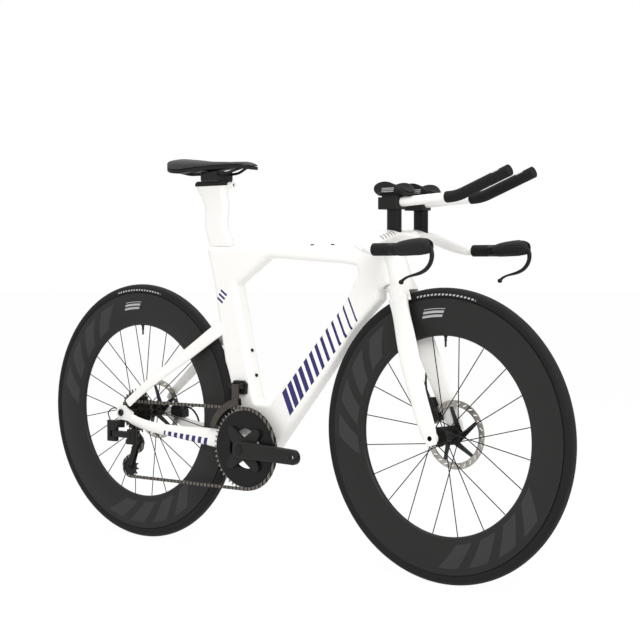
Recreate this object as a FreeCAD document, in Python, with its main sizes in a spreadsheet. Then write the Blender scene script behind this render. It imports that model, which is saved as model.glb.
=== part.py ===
"""Time trial bicycle: carbon frame with deep aero wheels, disc brakes and an aero cockpit.

Frame of reference, in millimetres: +X forward, +Y to the bicycle's left, +Z up. The origin is on the
ground, midway between the two axles. The drive train is on the right, at negative Y.
"""

import FreeCAD, Part
import Sketcher
import math
import os
import re

V = FreeCAD.Vector

# Driving dimensions: name, value in millimetres (degrees for angles, plain counts for teeth), meaning.
SIZES = [
    ("wheelbase", 985, "axle to axle"),
    ("tyre_radius", 339, "ground to axle"),
    ("tyre_width", 28, "tyre section"),
    ("rim_depth", 86, "bead seat to nose of the rim"),
    ("rim_width", 27, "outside width of the rim"),
    ("bb_drop", 68, "crank axis below the axles"),
    ("chainstay_run", 73.5, "crank axis ahead of the rear tyre, level"),
    ("head_angle", 72.5, "steering axis from level"),
    ("fork_rake", 44, "front axle ahead of the steering axis"),
    ("frame_width", 46, "across the frame tubes"),
    ("frame_round", 13, "edge rounding of the frame tubes"),
    ("corner_round", 9, "rounding of the outline's corners"),
    ("top_tube_height", 21.5, "top of the top tube above the upper end of the head tube"),
    ("seat_tube_wheel_gap", 9, "seat tube cut-out to the rear tyre"),
    ("head_low", 31, "lower end of the head tube beyond the front tyre, along the steering axis"),
    ("head_top", 80, "upper end of the head tube from its lower end, along the steering axis"),
    ("steerer_radius", 14.3, "steerer tube"),
    ("bearing_radius", 19.5, "outside of a headset bearing"),
    ("bearing_height", 7, "headset bearing"),
    ("steer_gap", 0.6, "fork and stem clear of the head tube"),
    ("fit_gap", 0.06, "running fit of a shaft, radial"),
    ("seat_gap", 0.1, "gap between seated pieces"),
    ("bb_shell_radius", 33, "outside of the crank bearing shell"),
    ("bb_shell_width", 81, "crank bearing shell, side to side"),
    ("bb_bore", 21, "bore of the shell, radius"),
    ("spindle_radius", 12, "crank spindle"),
    ("axle_radius", 6, "through axles"),
    ("front_spacing", 100, "between the fork ends"),
    ("rear_spacing", 142, "between the rear frame ends"),
    ("dropout_thickness", 9, "rear frame ends"),
    ("boss_spacing", 64, "bottle bosses, hole to hole"),
    ("boss_bore", 2.5, "thread of a bottle boss, radius"),
    ("boss_radius", 4.5, "outside of a boss insert"),
    ("boss_depth", 12, "length of a boss insert"),
    ("rotor_radius", 80, "brake disc"),
    ("rotor_thickness", 1.8, "brake disc"),
    ("front_rotor_offset", 39.5, "front disc from the middle"),
    ("rear_rotor_offset", 55.7, "rear disc from the middle"),
    ("hub_flange_radius", 22, "spoke flanges"),
    ("flange_thickness", 3, "spoke flanges"),
    ("front_flange_offset", 27, "front flanges' outer faces from the middle"),
    ("rear_left_flange", 34, "left rear flange's outer face"),
    ("rear_right_flange", 17, "right rear flange's outer face"),
    ("front_spokes_per_side", 10, "count"),
    ("rear_spokes_per_side", 12, "count"),
    ("spoke_blade", 2.2, "width of a bladed spoke"),
    ("spoke_thickness", 1, "thickness of a bladed spoke"),
    ("chain_pitch", 12.7, "pin to pin"),
    ("roller_radius", 3.85, "chain roller"),
    ("roller_width", 2.3, "between the inner plates"),
    ("plate_thickness", 0.8, "chain plates"),
    ("chain_line", 48, "middle of the frame to the outer chainring"),
    ("outer_teeth", 50, "outer chainring"),
    ("inner_teeth", 34, "inner chainring"),
    ("ring_step", 7.5, "between the chainrings"),
    ("tooth_thickness", 1.7, "sprocket teeth"),
    ("cog_pitch", 3.74, "between neighbouring cogs"),
    ("chain_cog", 3, "which cog the chain is on, counted from the smallest as 0"),
    ("guide_teeth", 11, "upper pulley"),
    ("tension_teeth", 13, "lower pulley"),
    ("crank_length", 172.5, "crank axis to pedal axis"),
    ("crank_tilt", 2, "right crank below level"),
    ("crank_inner", 60, "inner face of a crank from the middle"),
    ("crank_thickness", 14, "crank arm"),
    ("crank_root", 21, "crank arm at its axis, radius"),
    ("crank_tip", 18.5, "crank arm at the pedal, radius"),
    ("pedal_thread", 7.14, "pedal thread, radius"),
    ("post_chord", 78, "seat post, front to back"),
    ("post_width", 24, "seat post, side to side"),
    ("post_top", 154.5, "top of the post above the top tube"),
    ("shank_chord", 44, "hidden shank of the post"),
    ("shank_width", 20, "hidden shank of the post"),
    ("shank_length", 140, "shank inside the seat tube"),
    ("post_angle", 78.7, "shank from level"),
    ("saddle_length", 268, "nose to tail"),
    ("saddle_width", 132, "widest"),
    ("saddle_top", 44, "highest point of the saddle above the rails"),
    ("rail_radius", 3.5, "saddle rails"),
    ("rail_spread", 22, "rails from the middle at the clamp"),
    ("rail_height", 30, "rails above the top of the post at the clamp"),
    ("bar_radius", 11.5, "round ends of the base bar"),
    ("bar_reach", 110, "length of the round bar ends"),
    ("bar_half_width", 196, "bar ends from the middle"),
    ("bar_height", 8, "bar ends above the upper end of the head tube"),
    ("grip_radius", 14, "outside of the base bar grips"),
    ("grip_length", 60, "base bar grips"),
    ("tower_offset", 52, "arm rest towers from the middle"),
    ("tower_x", 70, "towers ahead of the steering axis at the top of the head tube"),
    ("tower_top", 50, "foot of the riser stack above the bar ends"),
    ("spacer_height", 8.6, "one riser spacer"),
    ("spacer_count", 5, "spacers in a stack"),
    ("extension_radius", 11, "extension tubes"),
    ("extension_offset", 49, "extensions from the middle"),
    ("extension_bend", 120, "bend radius of the extensions"),
    ("sleeve_radius", 13, "extension grips"),
    ("cup_half_width", 38, "arm cups, half"),
    ("cup_rise", 30, "height of the cup's walls"),
    ("cup_wall", 3.5, "arm cup shell"),
    ("pad_thickness", 9, "arm pads"),
    ("lever_thickness", 8, "brake lever, side to side"),
    ("lever_gap", 0.5, "lever clear of its body"),
    ("lever_pin", 2.5, "lever pivot, radius"),
    ("button_travel", 1.5, "shift buttons"),
    ("hose_radius", 2.5, "brake hoses"),
    ("wire_radius", 1.5, "derailleur wire"),
]
NAMES = {name for name, value, meaning in SIZES}
# Places that follow from the sizes: the crank axis from the rear axle, both ends of the head tube from the
# front axle along the steering axis, and the top of the top tube above the ground
PLACES = {
    "crank_run": "tyre_radius + chainstay_run",
    "steer_low": "tyre_radius + head_low",
    "steer_top": "steer_low + head_top",
    "top_line": "tyre_radius - fork_rake * cos(head_angle) + steer_top * sin(head_angle) + top_tube_height",
}
COGS = [11, 12, 13, 14, 15, 17, 19, 21, 23, 25, 28]

doc = FreeCAD.newDocument("TimeTrialBike")
sheet = doc.addObject("Spreadsheet::Sheet", "Sizes")
for row, (name, value, meaning) in enumerate(SIZES, 1):
    sheet.set("A%d" % row, meaning)
    sheet.set("B%d" % row, str(value))
    sheet.setAlias("B%d" % row, name)
doc.recompute()


def bound(text):
    """An expression with every place written out and every size's name pointed at its cell."""
    def written(match):
        word = match.group()
        if word in PLACES:
            return "(%s)" % bound(PLACES[word])
        return "Sizes." + word if word in NAMES else word

    return re.sub(r"[a-z]\w*", written, text)


def num(text):
    """The value of an expression in sizes, as a plain number."""
    return float(sheet.evalExpression(bound(text)))


class Values:
    """The sheet's sizes, and the places that follow from them, as plain numbers, read by name."""

    def __getattr__(self, name):
        return num(name)


S = Values()
PARTS = []


def keep(obj, label):
    """Names a finished sub-part; its label is also its file's name."""
    obj.Label = label
    PARTS.append(obj)
    return obj


def feature(label, shape):
    """A sub-part whose shape is worked out in this file."""
    return keep(piece(label, shape), label)


def piece(name, shape):
    obj = doc.addObject("Part::Feature", name)
    obj.Shape = shape
    return obj


# Reference points. A corner is a pair of expressions, level and upright, for sketches on the side plane.
def from_rear(dx, dz):
    return "-wheelbase / 2 + %s" % dx, "tyre_radius + %s" % dz


def from_front(dx, dz):
    return "wheelbase / 2 + %s" % dx, "tyre_radius + %s" % dz


def from_crank(dx, dz):
    return "crank_run - wheelbase / 2 + %s" % dx, "tyre_radius - bb_drop + %s" % dz


def from_head(ahead, along):
    """A point in the steering frame: ahead of the axis, and along it from beside the front axle."""
    x = "wheelbase / 2 + (%s - fork_rake) * sin(head_angle) - (%s) * cos(head_angle)" % (ahead, along)
    z = "tyre_radius + (%s - fork_rake) * cos(head_angle) + (%s) * sin(head_angle)" % (ahead, along)
    return x, z


REAR = V(num(from_rear(0, 0)[0]), 0, S.tyre_radius)
FRONT = V(num(from_front(0, 0)[0]), 0, S.tyre_radius)
CRANK = V(num(from_crank(0, 0)[0]), 0, num(from_crank(0, 0)[1]))
HEAD = V(num(from_head(0, 0)[0]), 0, num(from_head(0, 0)[1]))
AXIS = V(-math.cos(math.radians(S.head_angle)), 0, math.sin(math.radians(S.head_angle)))
AHEAD = V(AXIS.z, 0, -AXIS.x)
LEFT = V(0, 1, 0)
UP = V(0, 0, 1)


# Heights and places of the cockpit and the seat, each measured from what carries it
BAR_HEIGHT = HEAD.z + AXIS.z * S.steer_top + S.bar_height
TOWER_X = HEAD.x + AXIS.x * S.steer_top + S.tower_x
TOWER_TOP = BAR_HEIGHT + S.tower_top + S.spacer_count * S.spacer_height
POST_TOP = S.top_line + S.post_top
RAIL_HEIGHT = POST_TOP + S.rail_height
SADDLE_TOP = RAIL_HEIGHT + S.saddle_top


def steer(ahead, side, along):
    return HEAD + AHEAD * ahead + LEFT * side + AXIS * along


# Sketches and bodies
def corner_sketch(body, role, loops, arcs=()):
    """A sketch of closed loops of corners, each coordinate bound to the sheet.

    arcs maps (loop, corner) to a bend: the side that leaves that corner is an arc of this radius.
    """
    sketch = body.newObject("Sketcher::SketchObject", body.Name + "_sketch")
    plane = [o for o in body.Origin.OriginFeatures if o.Role == role][0]
    sketch.AttachmentSupport = [(plane, "")]
    sketch.MapMode = "FlatFace"
    arcs = dict(arcs)
    for number, loop in enumerate(loops):
        spots = [V(num(x), num(y), 0) for x, y in loop]
        first = sketch.GeometryCount
        ends = []
        for i, spot in enumerate(spots):
            after = spots[(i + 1) % len(spots)]
            bend = arcs.get((number, i))
            if bend:
                geo = sketch.addGeometry(arc_between(spot, after, num(bend)), False)
            else:
                geo = sketch.addGeometry(Part.LineSegment(spot, after), False)
            forward = (sketch.getPoint(geo, 1) - spot).Length < (sketch.getPoint(geo, 2) - spot).Length
            ends.append((1, 2) if forward else (2, 1))
        for i in range(len(spots)):
            after = (i + 1) % len(spots)
            sketch.addConstraint(
                Sketcher.Constraint("Coincident", first + i, ends[i][1], first + after, ends[after][0])
            )
        for i, (x, y) in enumerate(loop):
            for kind, text in (("DistanceX", x), ("DistanceY", y)):
                spec = Sketcher.Constraint(kind, -1, 1, first + i, ends[i][0], num(text))
                sketch.setExpression("Constraints[%d]" % sketch.addConstraint(spec), bound(text))
            bend = arcs.get((number, i))
            if bend:
                spec = Sketcher.Constraint("Radius", first + i, abs(num(bend)))
                sketch.setExpression("Constraints[%d]" % sketch.addConstraint(spec), bound("abs(%s)" % bend))
    return sketch


def arc_between(start, end, radius):
    """An arc from start to end; a negative radius bulges to the other side."""
    middle = (start + end) * 0.5
    half = (end - start).Length / 2
    across = V(start.y - end.y, end.x - start.x, 0).normalize()
    rise = abs(radius) - math.sqrt(radius**2 - half**2)
    return Part.Arc(start, middle + across * math.copysign(rise, radius), end)


def padded(name, loops, width, arcs=(), y="0"):
    """A body padded evenly to both sides of the side plane, or of a plane beside it."""
    body = doc.addObject("PartDesign::Body", name)
    sketch = corner_sketch(body, "XZ_Plane", loops, arcs)
    pad = body.newObject("PartDesign::Pad", name + "_pad")
    pad.Profile = sketch
    pad.SideType = "Symmetric"
    pad.setExpression("Length", bound(width))
    body.setExpression("Placement.Base.y", bound(y))
    doc.recompute()
    return body


def turned(name, profile, centre=("0", "0"), arcs=()):
    """A body turned about an axle that runs side to side. Corners are (radius, sideways)."""
    body = doc.addObject("PartDesign::Body", name)
    sketch = corner_sketch(body, "XY_Plane", [profile], arcs)
    turn = body.newObject("PartDesign::Revolution", name + "_turn")
    turn.Profile = sketch
    turn.ReferenceAxis = (sketch, ["V_Axis"])
    turn.Angle = 360
    body.setExpression("Placement.Base.x", bound(centre[0]))
    body.setExpression("Placement.Base.z", bound(centre[1]))
    doc.recompute()
    return body


def rounded(body, radius, wanted):
    """Fillets the edges of a body that a test picks."""
    base = body.Tip
    names = ["Edge%d" % (i + 1) for i, edge in enumerate(base.Shape.Edges) if wanted(edge)]
    fillet = body.newObject("PartDesign::Fillet", body.Name + "_round")
    fillet.Base = (base, names)
    fillet.setExpression("Radius", bound(radius))
    doc.recompute()
    return body


def along_y(edge):
    a, b = edge.firstVertex().Point, edge.lastVertex().Point
    return abs(abs(a.y - b.y) - (a - b).Length) < 1e-6 and (a - b).Length > 1e-6


def in_side_face(edge):
    box = edge.BoundBox
    return box.YLength < 1e-6


# Plain shapes
def rod(start, end, radius):
    return Part.makeCylinder(radius, (end - start).Length, start, end - start)


def tube(start, end, outer, inner):
    return rod(start, end, outer).cut(rod(start, end, inner))


def across(centre, low, high, radius):
    """A rod that runs side to side between two Y values."""
    return rod(V(centre.x, low, centre.z), V(centre.x, high, centre.z), radius)


def at_side(centre, y):
    return V(centre.x, y, centre.z)


def ellipse(centre, major, a, minor, b):
    """A closed elliptical wire with semi-axes a and b along two directions."""
    if a >= b:
        curve = Part.Ellipse(centre + major * a, centre + minor * b, centre)
    else:
        curve = Part.Ellipse(centre + minor * b, centre - major * a, centre)
    return Part.Wire([curve.toShape()])


def loft(wires):
    shape = Part.makeLoft(wires, True, False)
    if shape.Volume < 0:
        shape.reverse()
    return shape


def both_sides(shape):
    """A shape and its mirror image on the other side of the bicycle."""
    return Part.makeCompound([shape, shape.mirror(V(0, 0, 0), LEFT)])


def slab(points, low, high):
    """A plate with the given side outline, between two Y values."""
    corners = [V(x, low, z) for x, z in points]
    face = Part.Face(Part.makePolygon(corners + corners[:1]))
    return face.extrude(V(0, high - low, 0))


def box(x, y, z):
    """A block between pairs of limits."""
    return Part.makeBox(x[1] - x[0], y[1] - y[0], z[1] - z[0], V(x[0], y[0], z[0]))


def eased(block, way, radius):
    """Rounds the straight edges of a block that run along a direction."""
    straight = [edge for edge in block.Edges if isinstance(edge.Curve, Part.Line)]
    along = [edge for edge in straight if edge.Curve.Direction.cross(way).Length < 1e-6]
    return block.makeFillet(radius, along)


def bent_wire(points, radii):
    """Straight runs joined by tangent arcs, one radius for each inner point."""
    edges = []
    start = points[0]
    for before, corner, after, radius in zip(points, points[1:], points[2:], radii):
        back, on = (before - corner).normalize(), (after - corner).normalize()
        half = back.getAngle(on) / 2
        reach = radius / math.tan(half)
        first, last = corner + back * reach, corner + on * reach
        middle = corner + (back + on).normalize() * (radius / math.sin(half) - radius)
        edges.append(Part.LineSegment(start, first).toShape())
        edges.append(Part.Arc(first, middle, last).toShape())
        start = last
    edges.append(Part.LineSegment(start, points[-1]).toShape())
    return Part.Wire(edges)


def hose(points, radius, share=0.45):
    """A round tube along a route, each bend as large as its shorter run allows."""
    radii = []
    for before, corner, after in zip(points, points[1:], points[2:]):
        half = (before - corner).getAngle(after - corner) / 2
        run = min((before - corner).Length, (after - corner).Length)
        radii.append(share * run * math.tan(half))
    return swept(bent_wire(points, radii), radius)


def swept(path, radius):
    start = path.OrderedEdges[0]
    place, way = start.valueAt(start.FirstParameter), start.tangentAt(start.FirstParameter)
    ring = Part.Wire([Part.makeCircle(radius, place, way)])
    return path.makePipeShell([ring], True, False)


def cut(label, base, tools):
    """A sub-part cut out of a base by several tools."""
    fused = doc.addObject("Part::MultiFuse", label + "_tools")
    fused.Shapes = tools
    result = doc.addObject("Part::Cut", label + "_cut")
    result.Base = base
    result.Tool = fused
    doc.recompute()
    return result


# Sprockets and chain
def pitch_radius(teeth):
    return S.chain_pitch / (2 * math.sin(math.pi / teeth))


TOOTH_ROOT, TOOTH_TIP = 4.1, 2.6
GAP_FLOOR, GAP_MOUTH = 3.2, 5.4


def toothed_face(centre, teeth, first_gap, y):
    """The outline of a sprocket. first_gap is the angle, from +X towards +Z, of one roller seat."""
    radius = pitch_radius(teeth)
    corners = []
    for i in range(teeth):
        angle = first_gap + i * 2 * math.pi / teeth
        out = V(math.cos(angle), 0, math.sin(angle))
        along = V(-math.sin(angle), 0, math.cos(angle))
        mouth, floor = (GAP_MOUTH, TOOTH_TIP), (GAP_FLOOR, -TOOTH_ROOT)
        for side, rise in ((-mouth[0], mouth[1]), (-floor[0], floor[1]), floor, mouth):
            corners.append(V(centre.x, y, centre.z) + out * (radius + rise) + along * side)
    return Part.Face(Part.makePolygon(corners + corners[:1]))


def sprocket(centre, teeth, first_gap, middle, thickness, bore):
    face = toothed_face(centre, teeth, first_gap, middle - thickness / 2)
    disc = face.extrude(V(0, thickness, 0))
    return disc.cut(across(centre, middle - thickness, middle + thickness, bore))


CHAIN_Y = -S.chain_line
COG_TEETH = COGS[int(S.chain_cog)]
PIVOT = REAR + V(40.5, 0, -73)
GUIDE_ARM = V(-14, 0, -10)
TENSION_ARM = V(-33, 0, -76)


def turned_arm(arm, angle):
    """A cage point turned about the cage pivot, from +X towards +Z."""
    c, s = math.cos(angle), math.sin(angle)
    return PIVOT + V(c * arm.x - s * arm.z, 0, s * arm.x + c * arm.z)


def chain_circles(cage):
    """The pitch circles that the chain wraps, in order, with the way it turns round each."""
    return [
        (CRANK, pitch_radius(int(S.outer_teeth)), 1),
        (REAR, pitch_radius(COG_TEETH), 1),
        (turned_arm(GUIDE_ARM, cage), pitch_radius(int(S.guide_teeth)), -1),
        (turned_arm(TENSION_ARM, cage), pitch_radius(int(S.tension_teeth)), 1),
    ]


def chain_path(cage):
    """Tangent runs and arcs of the chain's pitch line, as (kind, length, data)."""
    circles = chain_circles(cage)
    touch = []
    for (p, r1, w1), (q, r2, w2) in zip(circles, circles[1:] + circles[:1]):
        gap = q - p
        lean = math.atan2(gap.z, gap.x)
        # The run's direction makes the signed radii's difference at right angles to it.
        tilt = math.asin((w1 * r1 - w2 * r2) / gap.Length)
        way = lean + tilt
        out = V(math.sin(way), 0, -math.cos(way))
        touch.append((p + out * (w1 * r1), q + out * (w2 * r2)))
    path = []
    for i, (centre, radius, way) in enumerate(circles):
        arrive, leave = touch[i - 1][1] - centre, touch[i][0] - centre
        start, end = math.atan2(arrive.z, arrive.x), math.atan2(leave.z, leave.x)
        sweep = (way * (end - start)) % (2 * math.pi)
        path.append(("arc", radius * sweep, (centre, radius, start, way)))
        run = touch[i][1] - touch[i][0]
        path.append(("run", run.Length, (touch[i][0], run.normalize())))
    return path


def path_point(path, distance):
    total = sum(length for kind, length, data in path)
    distance %= total
    for kind, length, data in path:
        if distance <= length:
            break
        distance -= length
    if kind == "arc":
        centre, radius, start, way = data
        angle = start + way * distance / radius
        return centre + V(radius * math.cos(angle), 0, radius * math.sin(angle))
    return data[0] + data[1] * distance


def march(path, links):
    """Pins one pitch apart along the path, and how far past the start the last one lies."""
    spots, distance = [], 0.0
    for i in range(links):
        here = path_point(path, distance)
        spots.append(here)
        low, high = distance + 0.9 * S.chain_pitch, distance + 1.2 * S.chain_pitch
        for step in range(40):
            middle = (low + high) / 2
            if (path_point(path, middle) - here).Length < S.chain_pitch:
                low = middle
            else:
                high = middle
        distance = low
    return spots, distance - sum(length for kind, length, data in path)


def close_chain():
    """The cage angle at which a whole, even number of links closes, and the pins."""
    rest = chain_path(0)
    length = sum(part for kind, part, data in rest)
    links = 2 * round(length / S.chain_pitch / 2)
    low, high = -0.9, 0.9
    for step in range(34):
        cage = (low + high) / 2
        # The path shortens as the cage swings forward, so the last pin overshoots the start.
        if march(chain_path(cage), links)[1] > 0:
            high = cage
        else:
            low = cage
    return cage, march(chain_path(cage), links)[0]


# Wheels
TYRE_BED = "(tyre_radius - tyre_width / 2 - sqrt((tyre_width / 2)^2 - (tyre_width * 0.36)^2) - seat_gap)"


def tyre(label, centre):
    """A round tyre section that ends in a flat bed on the rim."""
    core, half = "tyre_radius - tyre_width / 2", "tyre_width * 0.36"
    bed = TYRE_BED + " + seat_gap"
    profile = [
        (bed, "-" + half),
        (bed, half),
        (core, "tyre_width / 2"),
        ("tyre_radius", "0"),
        (core, "-tyre_width / 2"),
    ]
    return keep(turned(label, profile, centre, {(0, i): "tyre_width / 2" for i in (1, 2, 3, 4)}), label)


def rim(label, centre):
    """A deep rim: flat bed, gently swelling walls and a rounded nose."""
    nose = TYRE_BED + " - rim_depth"
    profile = [
        (TYRE_BED, "-rim_width * 0.46"),
        (TYRE_BED, "rim_width * 0.46"),
        (TYRE_BED + " - rim_depth * 0.28", "rim_width / 2"),
        (nose + " + rim_width * 0.28", "rim_width * 0.3"),
        (nose, "0"),
        (nose + " + rim_width * 0.28", "-rim_width * 0.3"),
        (TYRE_BED + " - rim_depth * 0.28", "-rim_width / 2"),
    ]
    bends = {(0, 2): "-rim_depth * 2.4", (0, 3): "-rim_width * 0.32", (0, 4): "-rim_width * 0.32",
             (0, 5): "-rim_depth * 2.4"}
    return keep(turned(label, profile, centre, bends), label)


RIM_NOSE = num(TYRE_BED + " - rim_depth")
SPOKE_HEAD_INSET = 2.2


def spoke(centre, flange_y, rim_y, hub_angle, rim_angle, over):
    """One bladed spoke from a flange to the nose of the rim. over: it passes over the flange's outer face."""
    def polar(radius, angle, y):
        return centre + V(radius * math.cos(angle), y, radius * math.sin(angle))

    head = S.hub_flange_radius - SPOKE_HEAD_INSET
    start = polar(head, hub_angle, flange_y)
    end = polar(RIM_NOSE - 2 * S.seat_gap, rim_angle, rim_y)
    if over:
        # The head is lifted so that the blade clears the flange's edge on its way to the rim.
        flat = (at_side(end, 0) - at_side(start, 0)).normalize()
        inward = (at_side(start, 0) - at_side(centre, 0)).dot(flat)
        leave = math.sqrt(inward**2 + S.hub_flange_radius**2 - head**2) - inward
        length = (at_side(end, 0) - at_side(start, 0)).Length
        start.y += (flange_y - rim_y) * leave / (length - leave)
    way = (end - start).normalize()
    flat = way.cross(LEFT).normalize() * (S.spoke_blade / 2)
    thin = flat.cross(way).normalize() * (S.spoke_thickness / 2)
    corners = [start + flat + thin, start - flat + thin, start - flat - thin, start + flat - thin]
    return Part.Face(Part.makePolygon(corners + corners[:1])).extrude(end - start)


def spokes(label, centre, sides, per_side):
    """Crossed spokes: on each flange every other spoke lies on the outer face and leans the other way."""
    blades = []
    sit = S.spoke_thickness / 2 + 2 * S.seat_gap
    for side, flange in sides:
        for i in range(per_side):
            outer = i % 2
            face = flange + sit if outer else flange - S.flange_thickness - sit
            lean = math.radians(62) * (1 if outer else -1)
            rim_angle = 2 * math.pi * (i + (0.25 if side > 0 else 0.75)) / per_side
            blades.append(spoke(centre, side * face, side * 1.5, rim_angle + lean, rim_angle, outer))
    return feature(label, Part.makeCompound(blades))


def hub(label, centre, left, right, left_end, right_end, rotor):
    """A hub shell with two spoke flanges and a boss for the brake disc on the left."""
    bore, shell = "axle_radius + fit_gap", "axle_radius + 7"
    rotor_face = "%s - rotor_thickness / 2 - seat_gap" % rotor
    profile = [
        (bore, right_end),
        ("axle_radius + 5", right_end),
        ("axle_radius + 5", "-(%s)" % right),
        ("hub_flange_radius", "-(%s)" % right),
        ("hub_flange_radius", "-(%s) + flange_thickness" % right),
        (shell, "-(%s) + flange_thickness" % right),
        (shell, "%s - flange_thickness" % left),
        ("hub_flange_radius", "%s - flange_thickness" % left),
        ("hub_flange_radius", left),
        ("axle_radius + 12", left),
        ("axle_radius + 12", rotor_face),
        ("axle_radius + 8", rotor_face),
        ("axle_radius + 8", "%s + rotor_thickness" % rotor),
        ("axle_radius + 5", "%s + rotor_thickness" % rotor),
        ("axle_radius + 5", left_end),
        (bore, left_end),
    ]
    return keep(turned(label, profile, centre), label)


ROTOR_SLOTS, ROTOR_ARMS = 26, 5


def rotor(label, centre, y):
    """A slotted brake track carried by a five-armed spider, with its lock ring."""
    low, high = y - S.rotor_thickness / 2, y + S.rotor_thickness / 2
    outer, inner = S.rotor_radius, S.rotor_radius - 15
    track = across(centre, low, high, outer).cut(across(centre, low, high, inner))
    tools = []
    for i in range(ROTOR_SLOTS):
        angle = 360 / ROTOR_SLOTS * i
        slot = Part.makeBox(11, S.rotor_thickness * 3, 2.6, V(outer - 12.5, low - S.rotor_thickness, -1.3))
        slot.rotate(V(outer - 7, 0, 0), LEFT, 50)
        slot.rotate(V(0, 0, 0), LEFT, angle)
        slot.translate(V(centre.x, 0, centre.z))
        tools.append(slot)
    track = track.cut(Part.makeCompound(tools))
    hole = S.axle_radius + 8 + 2 * S.fit_gap
    spider = across(centre, low, high, hole + 8)
    for i in range(ROTOR_ARMS):
        angle = 2 * math.pi * i / ROTOR_ARMS
        lean = angle + 0.5
        root = V(math.cos(angle - 0.25), 0, math.sin(angle - 0.25)) * (hole + 3)
        tip = V(math.cos(lean), 0, math.sin(lean)) * (inner + 1.5)
        side = (tip - root).cross(LEFT).normalize()
        corners = [root + side * 7, root - side * 7, tip - side * 4, tip + side * 4]
        arm = Part.Face(Part.makePolygon(corners + corners[:1])).extrude(V(0, S.rotor_thickness, 0))
        arm.translate(V(centre.x, low, centre.z))
        spider = spider.fuse(arm)
    disc = track.fuse(spider).cut(across(centre, low - 1, high + 1, hole))
    return feature(label, disc)


FRONT_CENTRE = from_front(0, 0)
REAR_CENTRE = from_rear(0, 0)
for end, centre in (("front", FRONT_CENTRE), ("rear", REAR_CENTRE)):
    tyre(end + "_tyre", centre)
    rim(end + "_rim", centre)
FRONT_FLANGES = [(1, S.front_flange_offset), (-1, S.front_flange_offset)]
spokes("front_spokes", FRONT, FRONT_FLANGES, int(S.front_spokes_per_side))
spokes("rear_spokes", REAR, [(1, S.rear_left_flange), (-1, S.rear_right_flange)], int(S.rear_spokes_per_side))
hub("front_hub", FRONT_CENTRE, "front_flange_offset", "front_flange_offset",
    "front_spacing / 2 - 3 * seat_gap", "-front_spacing / 2 + 3 * seat_gap", "front_rotor_offset")
hub("rear_hub", REAR_CENTRE, "rear_left_flange", "rear_right_flange",
    "rear_spacing / 2 - 3 * seat_gap", "-rear_right_flange - 2", "rear_rotor_offset")
rotor("front_rotor", FRONT, S.front_rotor_offset)
rotor("rear_rotor", REAR, S.rear_rotor_offset)


# Main frame: one hollow-looking carbon piece, drawn as its side outline
WHEEL_ARC = "(tyre_radius + seat_tube_wheel_gap)"
ARC_LOW, ARC_HIGH = -5.6, 24.6


def round_front_wheel(angle, gap):
    """A corner at a gap from the front tyre, at an angle about its axle."""
    reach = "(tyre_radius + %s)" % gap
    return from_front("%s * cos(%s)" % (reach, angle), "%s * sin(%s)" % (reach, angle))


def behind_front_axle(share):
    """A level place behind the front axle, as a share of the wheel's radius."""
    return from_front("-%s * tyre_radius" % share, 0)[0]


OUTLINE = [
    (from_crank(-160, 0)[0], "top_line"),
    (from_crank(-133, 0)[0], "top_line - 95"),
    (from_crank(-118, 0)[0], "top_line - 175"),
    from_rear(WHEEL_ARC + " * cos(%s)" % ARC_HIGH, WHEEL_ARC + " * sin(%s)" % ARC_HIGH),
    from_rear(WHEEL_ARC + " * cos(%s)" % ARC_LOW, WHEEL_ARC + " * sin(%s)" % ARC_LOW),
    from_crank(-45, -28),
    from_crank(0, -40),
    from_crank(45, -30),
    from_crank(85, 17),
    round_front_wheel(156.64, 16.7),
    round_front_wheel(138.79, 8.6),
    from_head(-33.1, "steer_low - 22.8"),
    from_head(-26, "steer_low"),
    from_head("frame_width / 2", "steer_low"),
    from_head("frame_width / 2", "steer_top + 15"),
    (from_head(-20, "steer_top + 28")[0], "top_line"),
]
WINDOW = [
    from_crank(10, 116),
    from_crank(61, 118),
    round_front_wheel(142.12, 74.7),
    round_front_wheel(135.3, 70.4),
    round_front_wheel(129.73, 80.3),
    (behind_front_axle(0.708), "top_line - 69.5"),
    (behind_front_axle(0.7227), "top_line - 49.5"),
    (behind_front_axle(0.8673), "top_line - 43.5"),
    (from_crank(60, 0)[0], "top_line - 30"),
    (from_crank(39, 0)[0], "top_line - 33.5"),
    (from_crank(-57, 0)[0], "top_line - 96.5"),
    (from_crank(-55, 0)[0], "top_line - 106.5"),
]


def frame_tubes():
    body = padded("frame_tubes", [OUTLINE, WINDOW], "frame_width", {(0, 3): WHEEL_ARC})
    rounded(body, "corner_round", along_y)
    rounded(body, "frame_round", in_side_face)
    return body


# Steering bowl: the head tube's top and the stem's underside are turned about the steering axis, so they pass
BOWL = [(0, 0), (26, 0), (52, 25), (76, 53.5), (76, 140), (0, 140)]


def turned_about_steering(profile, base):
    """A solid turned about the steering axis from (radius, along) corners, measured from a base height."""
    corners = [steer(radius, 0, base + along) for radius, along in profile]
    face = Part.Face(Part.makePolygon(corners + corners[:1]))
    return face.revolve(HEAD, AXIS, 360)


def steering_rod(low, high, radius):
    return rod(steer(0, 0, low), steer(0, 0, high), radius)


def ahead_of_axis(low, high, start):
    """A block ahead of the steering axis, from a start distance forward."""
    box = Part.makeBox(200, 200, high - low)
    box.Placement = FreeCAD.Placement(steer(start, -100, low), FreeCAD.Rotation(AHEAD, LEFT, AXIS, "XYZ"))
    return box


def oval(centre, way, chord, width):
    """An oval outline square to a direction: two flat sides closed by round ends, chord in the side plane."""
    front = LEFT.cross(way).normalize()
    straight, half = (chord - width) / 2, width / 2
    a, b = centre + front * straight, centre - front * straight
    return Part.Wire([
        Part.LineSegment(b + LEFT * half, a + LEFT * half).toShape(),
        Part.Arc(a + LEFT * half, a + front * half, a - LEFT * half).toShape(),
        Part.LineSegment(a - LEFT * half, b - LEFT * half).toShape(),
        Part.Arc(b - LEFT * half, b - front * half, b + LEFT * half).toShape(),
    ])


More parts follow.
